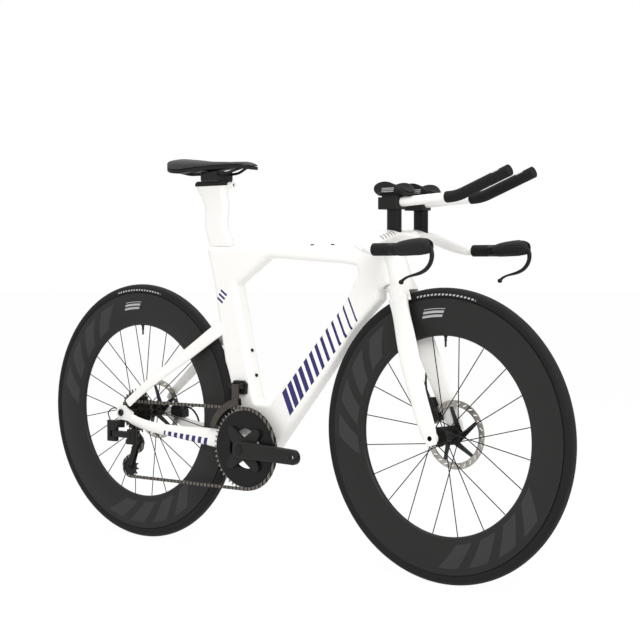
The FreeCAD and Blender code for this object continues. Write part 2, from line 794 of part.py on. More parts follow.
def oval_prism(centre, way, chord, width, length):
    return Part.Face(oval(centre, way, chord, width)).extrude(way.normalize() * length)


def strap(start, start_radius, end, end_radius, through):
    """A flat link with two round ends, as thick as the vector through."""
    along = (end - start).normalize()
    beside = through.cross(along).normalize()
    lean = (start_radius - end_radius) / (end - start).Length
    square = math.sqrt(1 - lean**2)

    def touch(centre, radius, side):
        return centre + along * (radius * lean) + beside * (side * radius * square)

    start_upper, start_lower = touch(start, start_radius, 1), touch(start, start_radius, -1)
    end_upper, end_lower = touch(end, end_radius, 1), touch(end, end_radius, -1)
    outline = Part.Wire([
        Part.LineSegment(start_upper, end_upper).toShape(),
        Part.Arc(end_upper, end + along * end_radius, end_lower).toShape(),
        Part.LineSegment(end_lower, start_lower).toShape(),
        Part.Arc(start_lower, start - along * start_radius, start_upper).toShape(),
    ])
    return Part.Face(outline).extrude(through)


POST_WAY = V(-math.cos(math.radians(S.post_angle)), 0, math.sin(math.radians(S.post_angle)))
POST_ENTRY = V(CRANK.x - 115, 0, S.top_line)
SHANK_FOOT = POST_ENTRY - POST_WAY * S.shank_length


def window_corner(i):
    return V(num(WINDOW[i][0]), 0, num(WINDOW[i][1]))


def edge_pair(start, end, share):
    """The middle of a pair of bosses on an edge of the frame, the edge's way, and the way out of the tube."""
    along = (end - start).normalize()
    out = V(-along.z, 0, along.x)
    return start + (end - start) * share, along, out


# Bottle bosses: on the top tube, and inside the window on the down tube and the seat tube
BOSS_PAIRS = [
    (V(CRANK.x + 210, 0, S.top_line), V(1, 0, 0), UP),
    edge_pair(window_corner(1), window_corner(2), 0.498),
    edge_pair(window_corner(11), window_corner(0), 0.66),
]


def boss_spots():
    for middle, along, out in BOSS_PAIRS:
        for side in (-1, 1):
            yield middle + along * (side * S.boss_spacing / 2), out


def main_frame():
    """The tubes joined to the crank shell, with the head, seat and bearing bores cut out."""
    shell = doc.addObject("Part::Cylinder", "crank_shell")
    shell.setExpression("Radius", bound("bb_shell_radius"))
    shell.setExpression("Height", bound("bb_shell_width"))
    left_end = V(CRANK.x, S.bb_shell_width / 2, CRANK.z)
    shell.Placement = FreeCAD.Placement(left_end, FreeCAD.Rotation(V(1, 0, 0), 90))
    joined = doc.addObject("Part::Fuse", "frame_and_shell")
    joined.Base = frame_tubes()
    joined.Tool = shell
    radius, reach = S.frame_width / 2, S.bb_shell_width
    low, high = S.steer_low, S.steer_top
    nose = ahead_of_axis(low - 4, high + 60, 0).cut(steering_rod(low - 10, high + 70, radius))
    seat = S.bearing_radius + S.seat_gap / 2
    tools = {
        "head_nose": nose,
        "steering_bowl": turned_about_steering(BOWL, high),
        "steerer_bore": steering_rod(low - 5, high + 5, S.steerer_radius + 2.5),
        "lower_bearing_seat": steering_rod(low - 1, low + S.bearing_height, seat),
        "upper_bearing_seat": steering_rod(high - S.bearing_height, high + 1, seat),
        "crank_bore": across(CRANK, -reach, reach, S.bb_bore),
        "post_socket": oval_prism(
            SHANK_FOOT - POST_WAY * 5, POST_WAY, S.shank_chord + 2 * S.fit_gap, S.shank_width + 2 * S.fit_gap,
            S.shank_length + 60),
    }
    boss_seat = S.boss_radius + S.seat_gap / 2
    for i, (spot, out) in enumerate(boss_spots()):
        tools["boss_hole_%d" % i] = rod(spot - out * S.boss_depth, spot + out * 20, boss_seat)
    frame = cut("main_frame", joined, [piece(name, shape) for name, shape in tools.items()])
    return keep(frame, "main_frame")


def boss_inserts():
    shapes = [
        tube(spot - out * (S.boss_depth - S.seat_gap), spot + out * 0.6, S.boss_radius, S.boss_bore)
        for spot, out in boss_spots()
    ]
    return feature("boss_inserts", Part.makeCompound(shapes))


def headset_bearings():
    rings = []
    for low in (S.steer_low + S.seat_gap / 2, S.steer_top - S.bearing_height + S.seat_gap / 2):
        high = low + S.bearing_height - S.seat_gap
        ring = steering_rod(low, high, S.bearing_radius)
        rings.append(ring.cut(steering_rod(low - 1, high + 1, S.steerer_radius + S.fit_gap)))
    return feature("headset_bearings", Part.makeCompound(rings))


def crank_bearings():
    """Two bearing cups, each with a flange outside the shell."""
    half, inner = "bb_shell_width / 2", "spindle_radius + fit_gap"
    cups = []
    for side, sign in (("left", ""), ("right", "-")):
        profile = [
            (inner, sign + "(%s + 5)" % half),
            ("bb_bore + 2", sign + "(%s + 5)" % half),
            ("bb_bore + 2", sign + "(%s + seat_gap)" % half),
            ("bb_bore - seat_gap", sign + "(%s + seat_gap)" % half),
            ("bb_bore - seat_gap", sign + "(%s - 9)" % half),
            (inner, sign + "(%s - 9)" % half),
        ]
        cups.append(turned(side + "_cup", profile, from_crank(0, 0)))
    both = doc.addObject("Part::Compound", "crank_cups")
    both.Links = cups
    doc.recompute()
    return keep(both, "crank_bearings")


# Stays
def stay(stations):
    """A tapering oval tube through (x, z, depth, y, width) stations."""
    wires = []
    for i, (x, z, depth, y, width) in enumerate(stations):
        before, after = stations[max(i - 1, 0)], stations[min(i + 1, len(stations) - 1)]
        way = V(after[0] - before[0], 0, after[1] - before[1]).normalize()
        up = LEFT.cross(way).normalize()
        wires.append(ellipse(V(x, y, z), up, depth / 2, LEFT, width / 2))
    return loft(wires)


END_Y = S.rear_spacing / 2
# Chainstay stations: share of the run to the crank axis, share of the drop, depth, side, width
CHAINSTAY = [(0.989, 0.941, 52, 24, 18), (0.824, 0.824, 50, 27, 16), (0.708, 0.743, 47, 29.5, 15),
             (0.533, 0.662, 38, 42, 14), (0.342, 0.559, 29, 56.5, 13), (0.17, 0.397, 27, 69, 12),
             (0.058, 0.147, 26, END_Y + 5, 9)]
# Seat stay stations: ahead of and above the rear axle as shares of the wheel's radius, depth, side, width
SEATSTAY = [(0.938, 0.708, 36, 12, 16), (0.826, 0.628, 35, 26.5, 13), (0.693, 0.537, 33, 32.5, 13),
            (0.4425, 0.363, 29, 50.5, 13), (0.236, 0.218, 25, 64.5, 12), (0.065, 0.0767, 23, END_Y + 5, 9)]


def rear_stations(rows, ahead, above):
    """Stations of a right stay, its shares multiplied by how far it runs ahead of and above the rear axle."""
    return [(REAR.x + x * ahead, REAR.z + z * above, depth, -y, width) for x, z, depth, y, width in rows]


def chainstays(frame):
    """Both chainstays with the frame ends that hold the rear axle."""
    tube_right = stay(rear_stations(CHAINSTAY, S.crank_run, -S.bb_drop))
    low, high = -END_Y - S.dropout_thickness, -END_Y
    end = across(REAR, low, high, 19)
    lower = slab([(REAR.x + x, REAR.z + z) for x, z in ((0, -19), (34, -21), (38, 2), (0, 19))], low, high)
    right = tube_right.fuse([end, lower]).removeSplitter()
    hub_space = across(REAR, -END_Y, END_Y, 46)
    bore = across(REAR, -END_Y - 30, END_Y + 30, S.axle_radius + S.fit_gap)
    return right.cut(hub_space).cut(bore).cut(frame)


def seatstays(frame, chainstay):
    right = stay(rear_stations(SEATSTAY, S.tyre_radius, S.tyre_radius))
    right = right.cut(across(REAR, -END_Y, END_Y, 46))
    return right.cut(frame).cut(chainstay)


def largest(shape):
    return max(shape.Solids, key=lambda solid: solid.Volume)


frame = main_frame()
boss_inserts()
headset_bearings()
crank_bearings()
right_chainstay = largest(chainstays(frame.Shape))
right_seatstay = largest(seatstays(frame.Shape, right_chainstay))
feature("seatstays", both_sides(right_seatstay))


def settle(shape, onto, way, gap):
    """Moves a shape along a direction until it lies a gap away from another."""
    for step in range(30):
        room = shape.distToShape(onto)[0] - gap
        if room < 0.004:
            break
        shape = shape.translated(way * room)
    return shape


def steering_plate(points, low, high):
    """A block with a side outline in the steering frame, between two Y values."""
    corners = [steer(ahead, low, along) for ahead, along in points]
    return Part.Face(Part.makePolygon(corners + corners[:1])).extrude(LEFT * (high - low))


def steering_oval(along, ahead, half_ahead, side, half_side):
    return ellipse(steer(ahead, side, along), AHEAD, half_ahead, LEFT, half_side)


# Fork: legs, crown and the fairing ahead of the head tube. Stations run up the steering axis from the axle:
# (up, ahead, half depth, half width), and for a leg its side offset comes before the last.
FORK_TOP = S.steer_low - S.steer_gap
FORK_END = S.front_spacing / 2
LEG = [
    (FORK_TOP - 34.4, 32, 28, 31, 13), (0.677 * FORK_TOP, 28.5, 26.5, 34, 9),
    (0.447 * FORK_TOP, 29.5, 26.5, 43, 7), (0.217 * FORK_TOP, 34.5, 23.5, 51.5, 7),
    (0, S.fork_rake - 2, 18, FORK_END + 6.5, 6.5), (-16, S.fork_rake - 1, 12, FORK_END + 6.5, 6.5),
]
CROWN = [(FORK_TOP - 47.4, 31, 29.5, 45), (FORK_TOP - 24.4, 31, 30, 41), (FORK_TOP, 25, 36, 25)]
FAIRING_TOP = S.steer_top - 18
FAIRING = [(FORK_TOP - 29.4, 30, 31, 30), (FORK_TOP + 5.6, 30, 29, 25), (FAIRING_TOP, 30, 26, 24)]
HEAD_CLEAR = S.frame_width / 2 + S.steer_gap
STEERER_TOP = S.steer_top + 20


def fork_body():
    leg = loft([steering_oval(*row) for row in LEG])
    boss = across(FRONT, FORK_END, FORK_END + 12, 15)
    crown = loft([steering_oval(along, ahead, deep, 0, wide) for along, ahead, deep, wide in CROWN])
    fairing = loft([steering_oval(along, ahead, deep, 0, wide) for along, ahead, deep, wide in FAIRING])
    fairing = fairing.cut(steering_rod(FORK_TOP, S.steer_top + 30, HEAD_CLEAR))
    steerer = steering_rod(FORK_TOP - 10, STEERER_TOP, S.steerer_radius)
    half = S.tyre_width / 2 + 4
    tyre_space = across(FRONT, -half, half, S.tyre_radius + 7)
    crown = crown.cut(tyre_space)
    fairing = fairing.cut(tyre_space)
    other_side = [half.mirror(V(0, 0, 0), LEFT) for half in (leg, boss)]
    body = crown.fuse([leg, boss, fairing, steerer] + other_side)
    bore = across(FRONT, -FORK_END - 30, FORK_END + 30, S.axle_radius + S.fit_gap)
    return body.cut([bore, across(FRONT, -FORK_END, FORK_END, 18)])


def front_axle():
    """A through axle with a flush head on the left and a socket in its right end."""
    end = FORK_END + 13
    axle = across(FRONT, -end, end, S.axle_radius)
    head = across(FRONT, end + 3 * S.seat_gap, end + 3, S.axle_radius + 4)
    neck = across(FRONT, end - 1, end + 1, S.axle_radius)
    return axle.fuse([head, neck]).cut(across(FRONT, -end - 1, -end + 9, S.axle_radius - 2))


FRONT_CALIPER = [(15, 42), (8, 100), (-16, 100), (-24, 88), (-22, 46), (-8, 38)]
PAD_SPACE = S.rotor_thickness / 2 + 0.7
CALIPER_ROUNDING = 5


def caliper_slot(centre, y):
    return across(centre, y - PAD_SPACE, y + PAD_SPACE, S.rotor_radius + 4)


def front_caliper(fork):
    block = steering_plate(FRONT_CALIPER, S.front_rotor_offset - 11, S.front_rotor_offset + 13)
    block = eased(block, LEFT, CALIPER_ROUNDING).translated(AHEAD * -14)
    block = settle(block, fork, AHEAD, 3 * S.seat_gap)
    return block.cut(caliper_slot(FRONT, S.front_rotor_offset))


def front_hose():
    """From a socket in the caliper up and into the back of the left fork leg."""
    side = S.front_rotor_offset + 6
    start = steer(-8, side, 90)
    return [start, start + AXIS * 38, steer(6, side, 165), steer(24, side - 1, 190)]


fork = fork_body()
caliper = front_caliper(fork)
hose_points = front_hose()
hose_hole = hose(hose_points, S.hose_radius + S.seat_gap)
feature("fork", largest(fork.cut(hose_hole)))
feature("front_axle", front_axle())
feature("front_caliper", largest(caliper.cut(hose_hole)))
feature("front_brake_hose", hose(hose_points, S.hose_radius))


# Cockpit: stem and wings in one piece. The stem's corners are (ahead, above the head tube's top).
STEM = [(-67, 46.5), (-43, 50), (10, 51.5), (62, 39), (89, 25.5), (95, 12), (85, 0.8), (-67, 0.8)]
BOWL_UNDER = [(0, -60), (76, -60), (76, 53.5), (52, 25), (26, 0), (0, 0)]
BAR_ROOT = TOWER_X + 51
# Wing stations: side, ahead of the towers, above the bar ends, half chord, half thickness, section's turn
WING = [(10, -9, 34, 36, 13, 0), (60, -13, 35, 34, 12, 0), (110, -1, 26, 26, 11.5, 6),
        (150, 8, 14, 21, 12, 14), (178, 24, 4, 15.5, 11.8, 42), (192, 38, 0.7, 12.4, 11.6, 70)]


def wing():
    wires = []
    for side, ahead, above, chord, thick, turn in WING:
        centre = V(TOWER_X + ahead, side * S.bar_half_width / 196, BAR_HEIGHT + above)
        way = V(math.cos(math.radians(turn)), -math.sin(math.radians(turn)), 0)
        wires.append(ellipse(centre, way, chord, UP, thick))
    root = V(BAR_ROOT, S.bar_half_width, BAR_HEIGHT)
    wires.append(ellipse(root, LEFT * -1, S.bar_radius, UP, S.bar_radius))
    end = rod(root, root + V(S.bar_reach, 0, 0), S.bar_radius)
    return loft(wires).fuse(end)


def stem_tools():
    """What is cut from under the stem so that it turns over the head tube."""
    above = S.steer_gap + 0.2
    under = turned_about_steering(BOWL_UNDER, S.steer_top + above)
    behind = ahead_of_axis(S.steer_top - 80, S.steer_top + 160, -206)
    steerer = steering_rod(S.steer_top - 1, STEERER_TOP + S.seat_gap, S.steerer_radius + S.seat_gap)
    return {
        "stem_under": under.common(behind),
        "stem_socket": steering_rod(S.steer_top - 40, S.steer_top + above, HEAD_CLEAR),
        "steerer_socket": steerer,
    }


def base_bar():
    stem = padded("stem", [[from_head(a, "steer_top + %s" % b) for a, b in STEM]], "frame_width")
    rounded(stem, "4", along_y)
    rounded(stem, "9", in_side_face)
    neck = loft([
        steering_oval(FAIRING_TOP + S.seat_gap, 30, 26, 0, 24),
        steering_oval(S.steer_top + 8, 37, 34, 0, S.frame_width / 2 - 1),
    ])
    right = wing().mirror(V(0, 0, 0), LEFT)
    joined = doc.addObject("Part::MultiFuse", "stem_and_wings")
    joined.Shapes = [stem, piece("stem_neck", neck), piece("left_wing", wing()), piece("right_wing", right)]
    tools = [piece(name, shape) for name, shape in stem_tools().items()]
    return keep(cut("base_bar", joined, tools), "base_bar")


def bar_grips():
    start = V(BAR_ROOT + 1, S.bar_half_width, BAR_HEIGHT)
    grip = tube(start, start + V(S.grip_length, 0, 0), S.grip_radius, S.bar_radius + S.seat_gap)
    return feature("bar_grips", both_sides(grip))


# Brake levers: stations of the hood (from its back, half width, half height, above the bar)
HOOD_X = BAR_ROOT + S.grip_length + 2
HOOD = [(0, 13.5, 13.5, 0), (16, 14.5, 16.5, 2), (50, 15.5, 18.5, 5), (80, 13.5, 17, 6), (92, 9, 12, 5)]
LEVER_PIVOT = V(HOOD_X + 79, S.bar_half_width, BAR_HEIGHT + 7)
# Lever stations from the pivot: ahead, above, half thickness, half width
LEVER = [(6, -2, 6.5, 0.5), (13.5, -12, 5.8, 0.5), (13.5, -30, 5, 0.6), (3, -47, 4.4, 0.7),
         (-24, -60.5, 3.6, 0.7), (-66, -78, 2.8, 0.55)]


def lever_body():
    wires = [
        ellipse(V(HOOD_X + x, S.bar_half_width, BAR_HEIGHT + up), UP, high, LEFT, wide)
        for x, wide, high, up in HOOD
    ]
    bore_end = BAR_ROOT + S.bar_reach + S.seat_gap
    mouth, bottom = (V(x, S.bar_half_width, BAR_HEIGHT) for x in (HOOD_X - 1, bore_end))
    bore = rod(mouth, bottom, S.bar_radius + S.seat_gap)
    slot_half = S.lever_thickness / 2 + S.lever_gap
    slot = Part.makeBox(60, 2 * slot_half, 80, LEVER_PIVOT + V(-12, -slot_half, -40))
    pin = across(LEVER_PIVOT, S.bar_half_width - slot_half - 4, S.bar_half_width + slot_half + 4, S.lever_pin)
    return loft(wires).cut(bore).cut(slot).fuse(pin)


def brake_lever():
    spots = [LEVER_PIVOT + V(ahead, 0, above) for ahead, above, thick, wide in LEVER]
    wires = []
    for i, (ahead, above, thick, wide) in enumerate(LEVER):
        way = (spots[min(i + 1, len(spots) - 1)] - spots[max(i - 1, 0)]).normalize()
        wires.append(ellipse(spots[i], way.cross(LEFT).normalize(), thick, LEFT, wide * S.lever_thickness))
    half = S.lever_thickness / 2
    eye = across(LEVER_PIVOT, S.bar_half_width - half, S.bar_half_width + half, 8)
    knob = across(spots[-1], S.bar_half_width - half - 0.6, S.bar_half_width + half + 0.6, 5.2)
    knob = knob.makeFillet(3, [edge for edge in knob.Edges if isinstance(edge.Curve, Part.Circle)])
    bore = across(LEVER_PIVOT, S.bar_half_width - 20, S.bar_half_width + 20, S.lever_pin + S.fit_gap)
    return loft(wires).fuse([eye, knob]).cut(bore)


base_bar()
bar_grips()
for name, shape in (("lever_body", lever_body()), ("brake_lever", brake_lever())):
    feature(name + "_left", shape)
    feature(name + "_right", shape.mirror(V(0, 0, 0), LEFT))


# Arm rests
def risers(bar):
    """A stack of oval spacers on a foot that follows the top of the bar."""
    stack = []
    foot = TOWER_TOP - S.spacer_count * S.spacer_height
    for i in range(int(S.spacer_count)):
        low = V(TOWER_X, S.tower_offset, foot + i * S.spacer_height)
        stack.append(oval_prism(low, UP, 36, 24, S.spacer_height - S.seat_gap))
    deep = foot - BAR_HEIGHT - 36
    base = oval_prism(V(TOWER_X, S.tower_offset, foot - deep), UP, 36, 24, deep - S.seat_gap)
    base = max(base.cut(bar).Solids, key=lambda solid: solid.BoundBox.ZMax)
    return stack + [base]


EXTENSION = [V(TOWER_X + ahead, S.extension_offset, TOWER_TOP + above)
             for ahead, above in ((-33, 14), (171, 26), (307, 78))]
TIP_WAY = (EXTENSION[2] - EXTENSION[1]).normalize()
CUP_FLOOR = TOWER_TOP + 31.3
CLAMP = [(-38, 2), (-33, 0), (16, 0), (20, 4), (20, 28), (-38, 28)]


def extension_clamp():
    points = [(TOWER_X + x, TOWER_TOP + S.seat_gap + z) for x, z in CLAMP]
    block = eased(slab(points, S.extension_offset - 16, S.extension_offset + 20), UP, 8)
    return block.cut(rod(EXTENSION[0], EXTENSION[1], S.extension_radius + S.seat_gap))


GRIP_PLUG = 50


def extension_tube(grow):
    """The bare tube stops short of the tip, where the grip is solid. With growth it is the grip's bore."""
    end = EXTENSION[2] - TIP_WAY * (GRIP_PLUG - grow)
    return swept(bent_wire([EXTENSION[0], EXTENSION[1], end], [S.extension_bend]), S.extension_radius + grow)


BUTTON_LENGTH, BUTTON_WIDTH, BUTTON_HEIGHT = 20, 5, 4
BUTTON_OUT = (TIP_WAY.cross(LEFT) * 0.75 - LEFT * 0.66).normalize()


def button(side, grow, sink):
    """The shift button by the tip, or with growth its pocket."""
    middle = EXTENSION[2] - TIP_WAY * 30
    middle.y = side * S.extension_offset
    wide = BUTTON_OUT.cross(TIP_WAY).normalize()
    size = (BUTTON_LENGTH + 2 * grow, BUTTON_WIDTH + 2 * grow, BUTTON_HEIGHT + sink + 10 * grow)
    corner = middle + BUTTON_OUT * (S.sleeve_radius + 0.6 - BUTTON_HEIGHT - sink)
    corner = corner - TIP_WAY * (size[0] / 2) - wide * (size[1] / 2)
    box = Part.makeBox(*size)
    box.Placement = FreeCAD.Placement(corner, FreeCAD.Rotation(TIP_WAY, wide, BUTTON_OUT, "XYZ"))
    return box


def extension_grip():
    start = EXTENSION[1] - (EXTENSION[1] - EXTENSION[0]).normalize() * 28
    cover = swept(bent_wire([start, EXTENSION[1], EXTENSION[2]], [S.extension_bend]), S.sleeve_radius)
    return cover.cut(extension_tube(S.seat_gap))


def arm_cup():
    """A trough round the forearm, its side walls rising in a hump."""
    radius = (S.cup_half_width**2 + S.cup_rise**2) / (2 * S.cup_rise)
    back = V(TOWER_X - 60, S.tower_offset, CUP_FLOOR + radius)
    front = back + V(140, 0, 0)
    ring = tube(back, front, radius, radius - S.cup_wall)
    hump = [(-38, 9), (-31, 21), (-12, 29.5), (8, 30), (26, 22), (41, 9), (54, 4)]
    spots = [V(TOWER_X + x, S.tower_offset - S.cup_half_width, CUP_FLOOR + z) for x, z in hump]
    curve = Part.BSplineCurve()
    curve.interpolate(spots)
    floor = [V(spots[-1].x, spots[-1].y, CUP_FLOOR - 4), V(spots[0].x, spots[0].y, CUP_FLOOR - 4)]
    outline = Part.Wire([curve.toShape()] + Part.makePolygon([spots[-1]] + floor + [spots[0]]).Edges)
    walls = Part.Face(outline).extrude(LEFT * (2 * S.cup_half_width))
    low = TOWER_TOP + 28 + 2 * S.seat_gap
    foot = Part.makeBox(44, 26, CUP_FLOOR + 6 - low, V(TOWER_X - 26, S.tower_offset - 13, low))
    foot = foot.cut(rod(back, front, radius - S.cup_wall / 2))
    return ring.common(walls).fuse(foot)


# Pad stations: ahead of the tower, height of its sides above the cup's inside, thickness
PAD = [(-36, 5, 4), (-26, 15, 7.5), (-8, 23.5, 9), (10, 24, 9), (26, 16.5, 8.5), (40, 6.5, 6.5), (50, 3, 3)]


def arm_pad():
    cup = (S.cup_half_width**2 + S.cup_rise**2) / (2 * S.cup_rise)
    outer = cup - S.cup_wall - 3 * S.seat_gap
    wires = []
    for x, rise, thick in PAD:
        thick *= S.pad_thickness / 9
        reach = math.acos(1 - rise / outer)
        centre = V(TOWER_X + x, S.tower_offset, CUP_FLOOR + cup)

        def spot(radius, angle):
            return centre + V(0, radius * math.sin(angle), -radius * math.cos(angle))

        inner = outer - thick
        wires.append(Part.Wire([
            Part.Arc(spot(outer, -reach), spot(outer, 0), spot(outer, reach)).toShape(),
            Part.LineSegment(spot(outer, reach), spot(inner, reach)).toShape(),
            Part.Arc(spot(inner, reach), spot(inner, 0), spot(inner, -reach)).toShape(),
            Part.LineSegment(spot(inner, -reach), spot(outer, -reach)).toShape(),
        ]))
    return loft(wires)


bar_shape = [obj for obj in PARTS if obj.Label == "base_bar"][0].Shape
feature("riser_spacers", Part.makeCompound([both_sides(shape) for shape in risers(bar_shape)]))
feature("extension_clamps", both_sides(extension_clamp()))
feature("extensions", both_sides(extension_tube(0)))
left_grip = extension_grip()
grips = [left_grip, left_grip.mirror(V(0, 0, 0), LEFT)]
pockets = [button(side, 3 * S.seat_gap, 0.6 + S.button_travel) for side in (1, -1)]
feature("extension_grips", Part.makeCompound([grip.cut(pocket) for grip, pocket in zip(grips, pockets)]))
feature("shift_button_left", button(1, 0, 0))
feature("shift_button_right", button(-1, 0, 0))
feature("arm_cups", both_sides(arm_cup()))
feature("arm_pads", both_sides(arm_pad()))


# Seat post stations: above the top tube, back edge from the crank axis, share of the chord, extra width
POST = [(0.8, -163, 0.987, 0), (16.5, -165, 0.987, 0), (92.5, -176, 0.974, 0), (123.5, -186, 1.064, 1),
        (141.5, -199, 1.218, 3), (154.5, -205, 1.564, 6)]


def seat_post():
    rise = (POST_TOP - S.top_line) / POST[-1][0]
    wires = []
    for above, back, share, extra in POST:
        chord = share * S.post_chord
        centre = V(CRANK.x + back + chord / 2, 0, S.top_line + above * rise)
        wires.append(oval(centre, UP, chord, S.post_width + extra))
    shank = oval_prism(SHANK_FOOT, POST_WAY, S.shank_chord, S.shank_width, S.shank_length + 12)
    boss = rod(V(CRANK.x - 110, 0, POST_TOP + 1), V(CRANK.x - 80, 0, POST_TOP + 1), 8.5)
    socket = rod(V(CRANK.x - 88, 0, POST_TOP + 1), V(CRANK.x - 79, 0, POST_TOP + 1), 4)
    plate_space = Part.makeBox(200, 60, 40, V(CRANK.x - 296, -30, POST_TOP))
    return loft(wires).fuse([shank, boss]).cut(plate_space).cut(socket)


SADDLE_X = CRANK.x - 3
# Saddle stations: from the nose as a share of its length, share of its half width, top and edge
SADDLE = [(0.0, 0.13, -24, -30), (0.03, 0.24, -20, -29), (0.14, 0.31, -15, -25), (0.33, 0.37, -12.5, -23),
          (0.51, 0.55, -11, -25), (0.66, 0.82, -7, -29), (0.81, 1.0, -2, -33), (0.92, 0.97, 0, -30),
          (1.0, 0.78, -2, -20)]
SHELL_THICKNESS, SHELL_INSET = 8, 4


def saddle_spots():
    for share, wide, top, edge in SADDLE:
        x = SADDLE_X - share * S.saddle_length
        yield x, wide * S.saddle_width / 2, SADDLE_TOP + top, SADDLE_TOP + edge


def saddle_cover():
    """A padded cover: each section has upright sides, rounded shoulders and a crowned top."""
    wires = []
    for x, half, top, edge in saddle_spots():
        rise = top - edge
        crown, turn = 0.16 * rise, min(0.62 * rise, 0.6 * half)
        shoulder = top - crown
        lift = turn * (1 - math.sqrt(0.5))

        def spot(y, z):
            return V(x, y, z)

        wires.append(Part.Wire([
            Part.LineSegment(spot(-half, edge), spot(-half, shoulder - turn)).toShape(),
            Part.Arc(spot(-half, shoulder - turn), spot(-half + lift, shoulder - lift),
                     spot(-half + turn, shoulder)).toShape(),
            Part.Arc(spot(-half + turn, shoulder), spot(0, top), spot(half - turn, shoulder)).toShape(),
            Part.Arc(spot(half - turn, shoulder), spot(half - lift, shoulder - lift),
                     spot(half, shoulder - turn)).toShape(),
            Part.LineSegment(spot(half, shoulder - turn), spot(half, edge)).toShape(),
            Part.LineSegment(spot(half, edge), spot(-half, edge)).toShape(),
        ]))
    return loft(wires)


def saddle_shell():
    wires = []
    for x, half, top, edge in saddle_spots():
        half = max(half - SHELL_INSET, 4)
        high = edge - 2 * S.seat_gap
        low = high - SHELL_THICKNESS
        corners = [V(x, -half, low), V(x, -half, high), V(x, half, high), V(x, half, low)]
        wires.append(Part.makePolygon(corners + corners[:1]))
    return loft(wires)


# Rail corners: share of the saddle's length, side, height. Both ends rise into the shell.
RAIL = [V(SADDLE_X - share * S.saddle_length, side, height) for share, side, height in (
    (0.892, 34, SADDLE_TOP - 36), (0.765, S.rail_spread + 2, RAIL_HEIGHT),
    (0.313, S.rail_spread, RAIL_HEIGHT), (0.134, 8, SADDLE_TOP - 29))]


def rail(radius):
    return hose(RAIL, radius, 0.3)


CLAMP_PLATE = [(-203, 0.3), (-97, 0.3), (-97, 9), (-106, 13), (-196, 13), (-203, 8)]


def saddle_clamp(rails):
    """The plate on top of the post and the cradle that grips both rails."""
    points = [(CRANK.x + x, POST_TOP + z) for x, z in CLAMP_PLATE]
    plate = slab(points, -S.post_width / 2 - 2, S.post_width / 2 + 2)
    half = S.rail_spread + 8
    low, high = POST_TOP + 11, RAIL_HEIGHT + 7
    cradle = eased(box((CRANK.x - 168, CRANK.x - 112), (-half, half), (low, high)), V(1, 0, 0), 6)
    return plate.fuse(cradle).removeSplitter().cut(rails)


rail_space = both_sides(rail(S.rail_radius + S.seat_gap))
feature("seatpost", seat_post())
feature("saddle_clamp", saddle_clamp(rail_space))
feature("saddle_rails", both_sides(rail(S.rail_radius)))
feature("saddle_shell", largest(saddle_shell().cut(rail_space)))
feature("saddle_cover", saddle_cover())


# Drive train
cage_angle, pins = close_chain()
GUIDE, TENSION = turned_arm(GUIDE_ARM, cage_angle), turned_arm(TENSION_ARM, cage_angle)
TILT = math.radians(S.crank_tilt)
PEDAL = CRANK + V(math.cos(TILT), 0, -math.sin(TILT)) * S.crank_length
LEFT_PEDAL = CRANK * 2 - PEDAL
CRANK_OUTER = S.crank_inner + S.crank_thickness
CUP_FACE = S.bb_shell_width / 2 + 5
RING_FACE = S.chain_line + 1.5
BOLT_RADIUS, BOLT_CIRCLE = 3.5, 58


def phase(centre, teeth):
    """The angle of a pin that lies on a sprocket's pitch circle."""
    radius = pitch_radius(teeth)
    seated = [pin for pin in pins if abs((pin - centre).Length - radius) < 0.01]
    pin = seated[len(seated) // 2] - centre
    return math.atan2(pin.z, pin.x)


def bolt_spots():
    for i in range(4):
        angle = math.radians(45 + 90 * i - S.crank_tilt)
        yield CRANK + V(math.cos(angle), 0, math.sin(angle)) * BOLT_CIRCLE


def crank_arm(pedal, side):
    """A tapering arm with its outer edges rounded and a threaded hole for the pedal."""
    root, tip = at_side(CRANK, side * CRANK_OUTER), at_side(pedal, side * CRANK_OUTER)
    arm = strap(root, S.crank_root, tip, S.crank_tip, LEFT * (-side * S.crank_thickness))
    side_edges = [edge for edge in arm.Edges if in_side_face(edge)]
    outer_edges = [edge for edge in side_edges if abs(edge.CenterOfMass.y - side * CRANK_OUTER) < 0.01]
    arm = arm.makeFillet(5, outer_edges)
    boss = across(CRANK, side * (CUP_FACE + 0.5), side * (S.crank_inner + 1), 18)
    return arm.fuse(boss).cut(across(pedal, -200, 200, S.pedal_thread))


def crank_right():
    arm = crank_arm(PEDAL, -1)
    spindle = across(CRANK, -S.crank_inner - 1, S.crank_inner + 12, S.spindle_radius)
    pieces = [spindle]
    ring_inner = -S.chain_line + S.ring_step + 1
    nut_outer, nut_inner = -RING_FACE + 3 + S.seat_gap, ring_inner - 2 - S.seat_gap
    for spot in bolt_spots():
        face = -RING_FACE - S.seat_gap
        pieces.append(strap(at_side(CRANK, face - 7), 23, at_side(spot, face - 7), 12, LEFT * 7))
        pieces.append(across(spot, face - 1, ring_inner, BOLT_RADIUS))
        pieces.append(across(spot, nut_outer, nut_inner, BOLT_RADIUS + 2.5))
    return arm.fuse(pieces)


def crank_left():
    arm = crank_arm(LEFT_PEDAL, 1)
    return arm.cut(across(CRANK, 0, S.crank_inner + 12 + S.seat_gap, S.spindle_radius + S.seat_gap))


def chainring(teeth, first_gap, middle, low, high, rim_radius, bore):
    """A toothed plate on a thicker carrier, drilled for the chainring bolts."""
    ring = sprocket(CRANK, teeth, first_gap, middle, S.tooth_thickness, bore)
    carrier = across(CRANK, low, high, rim_radius).cut(across(CRANK, low, high, bore))
    holes = [across(spot, -100, 0, BOLT_RADIUS + S.seat_gap) for spot in bolt_spots()]
    return ring.fuse(carrier).cut(Part.makeCompound(holes))


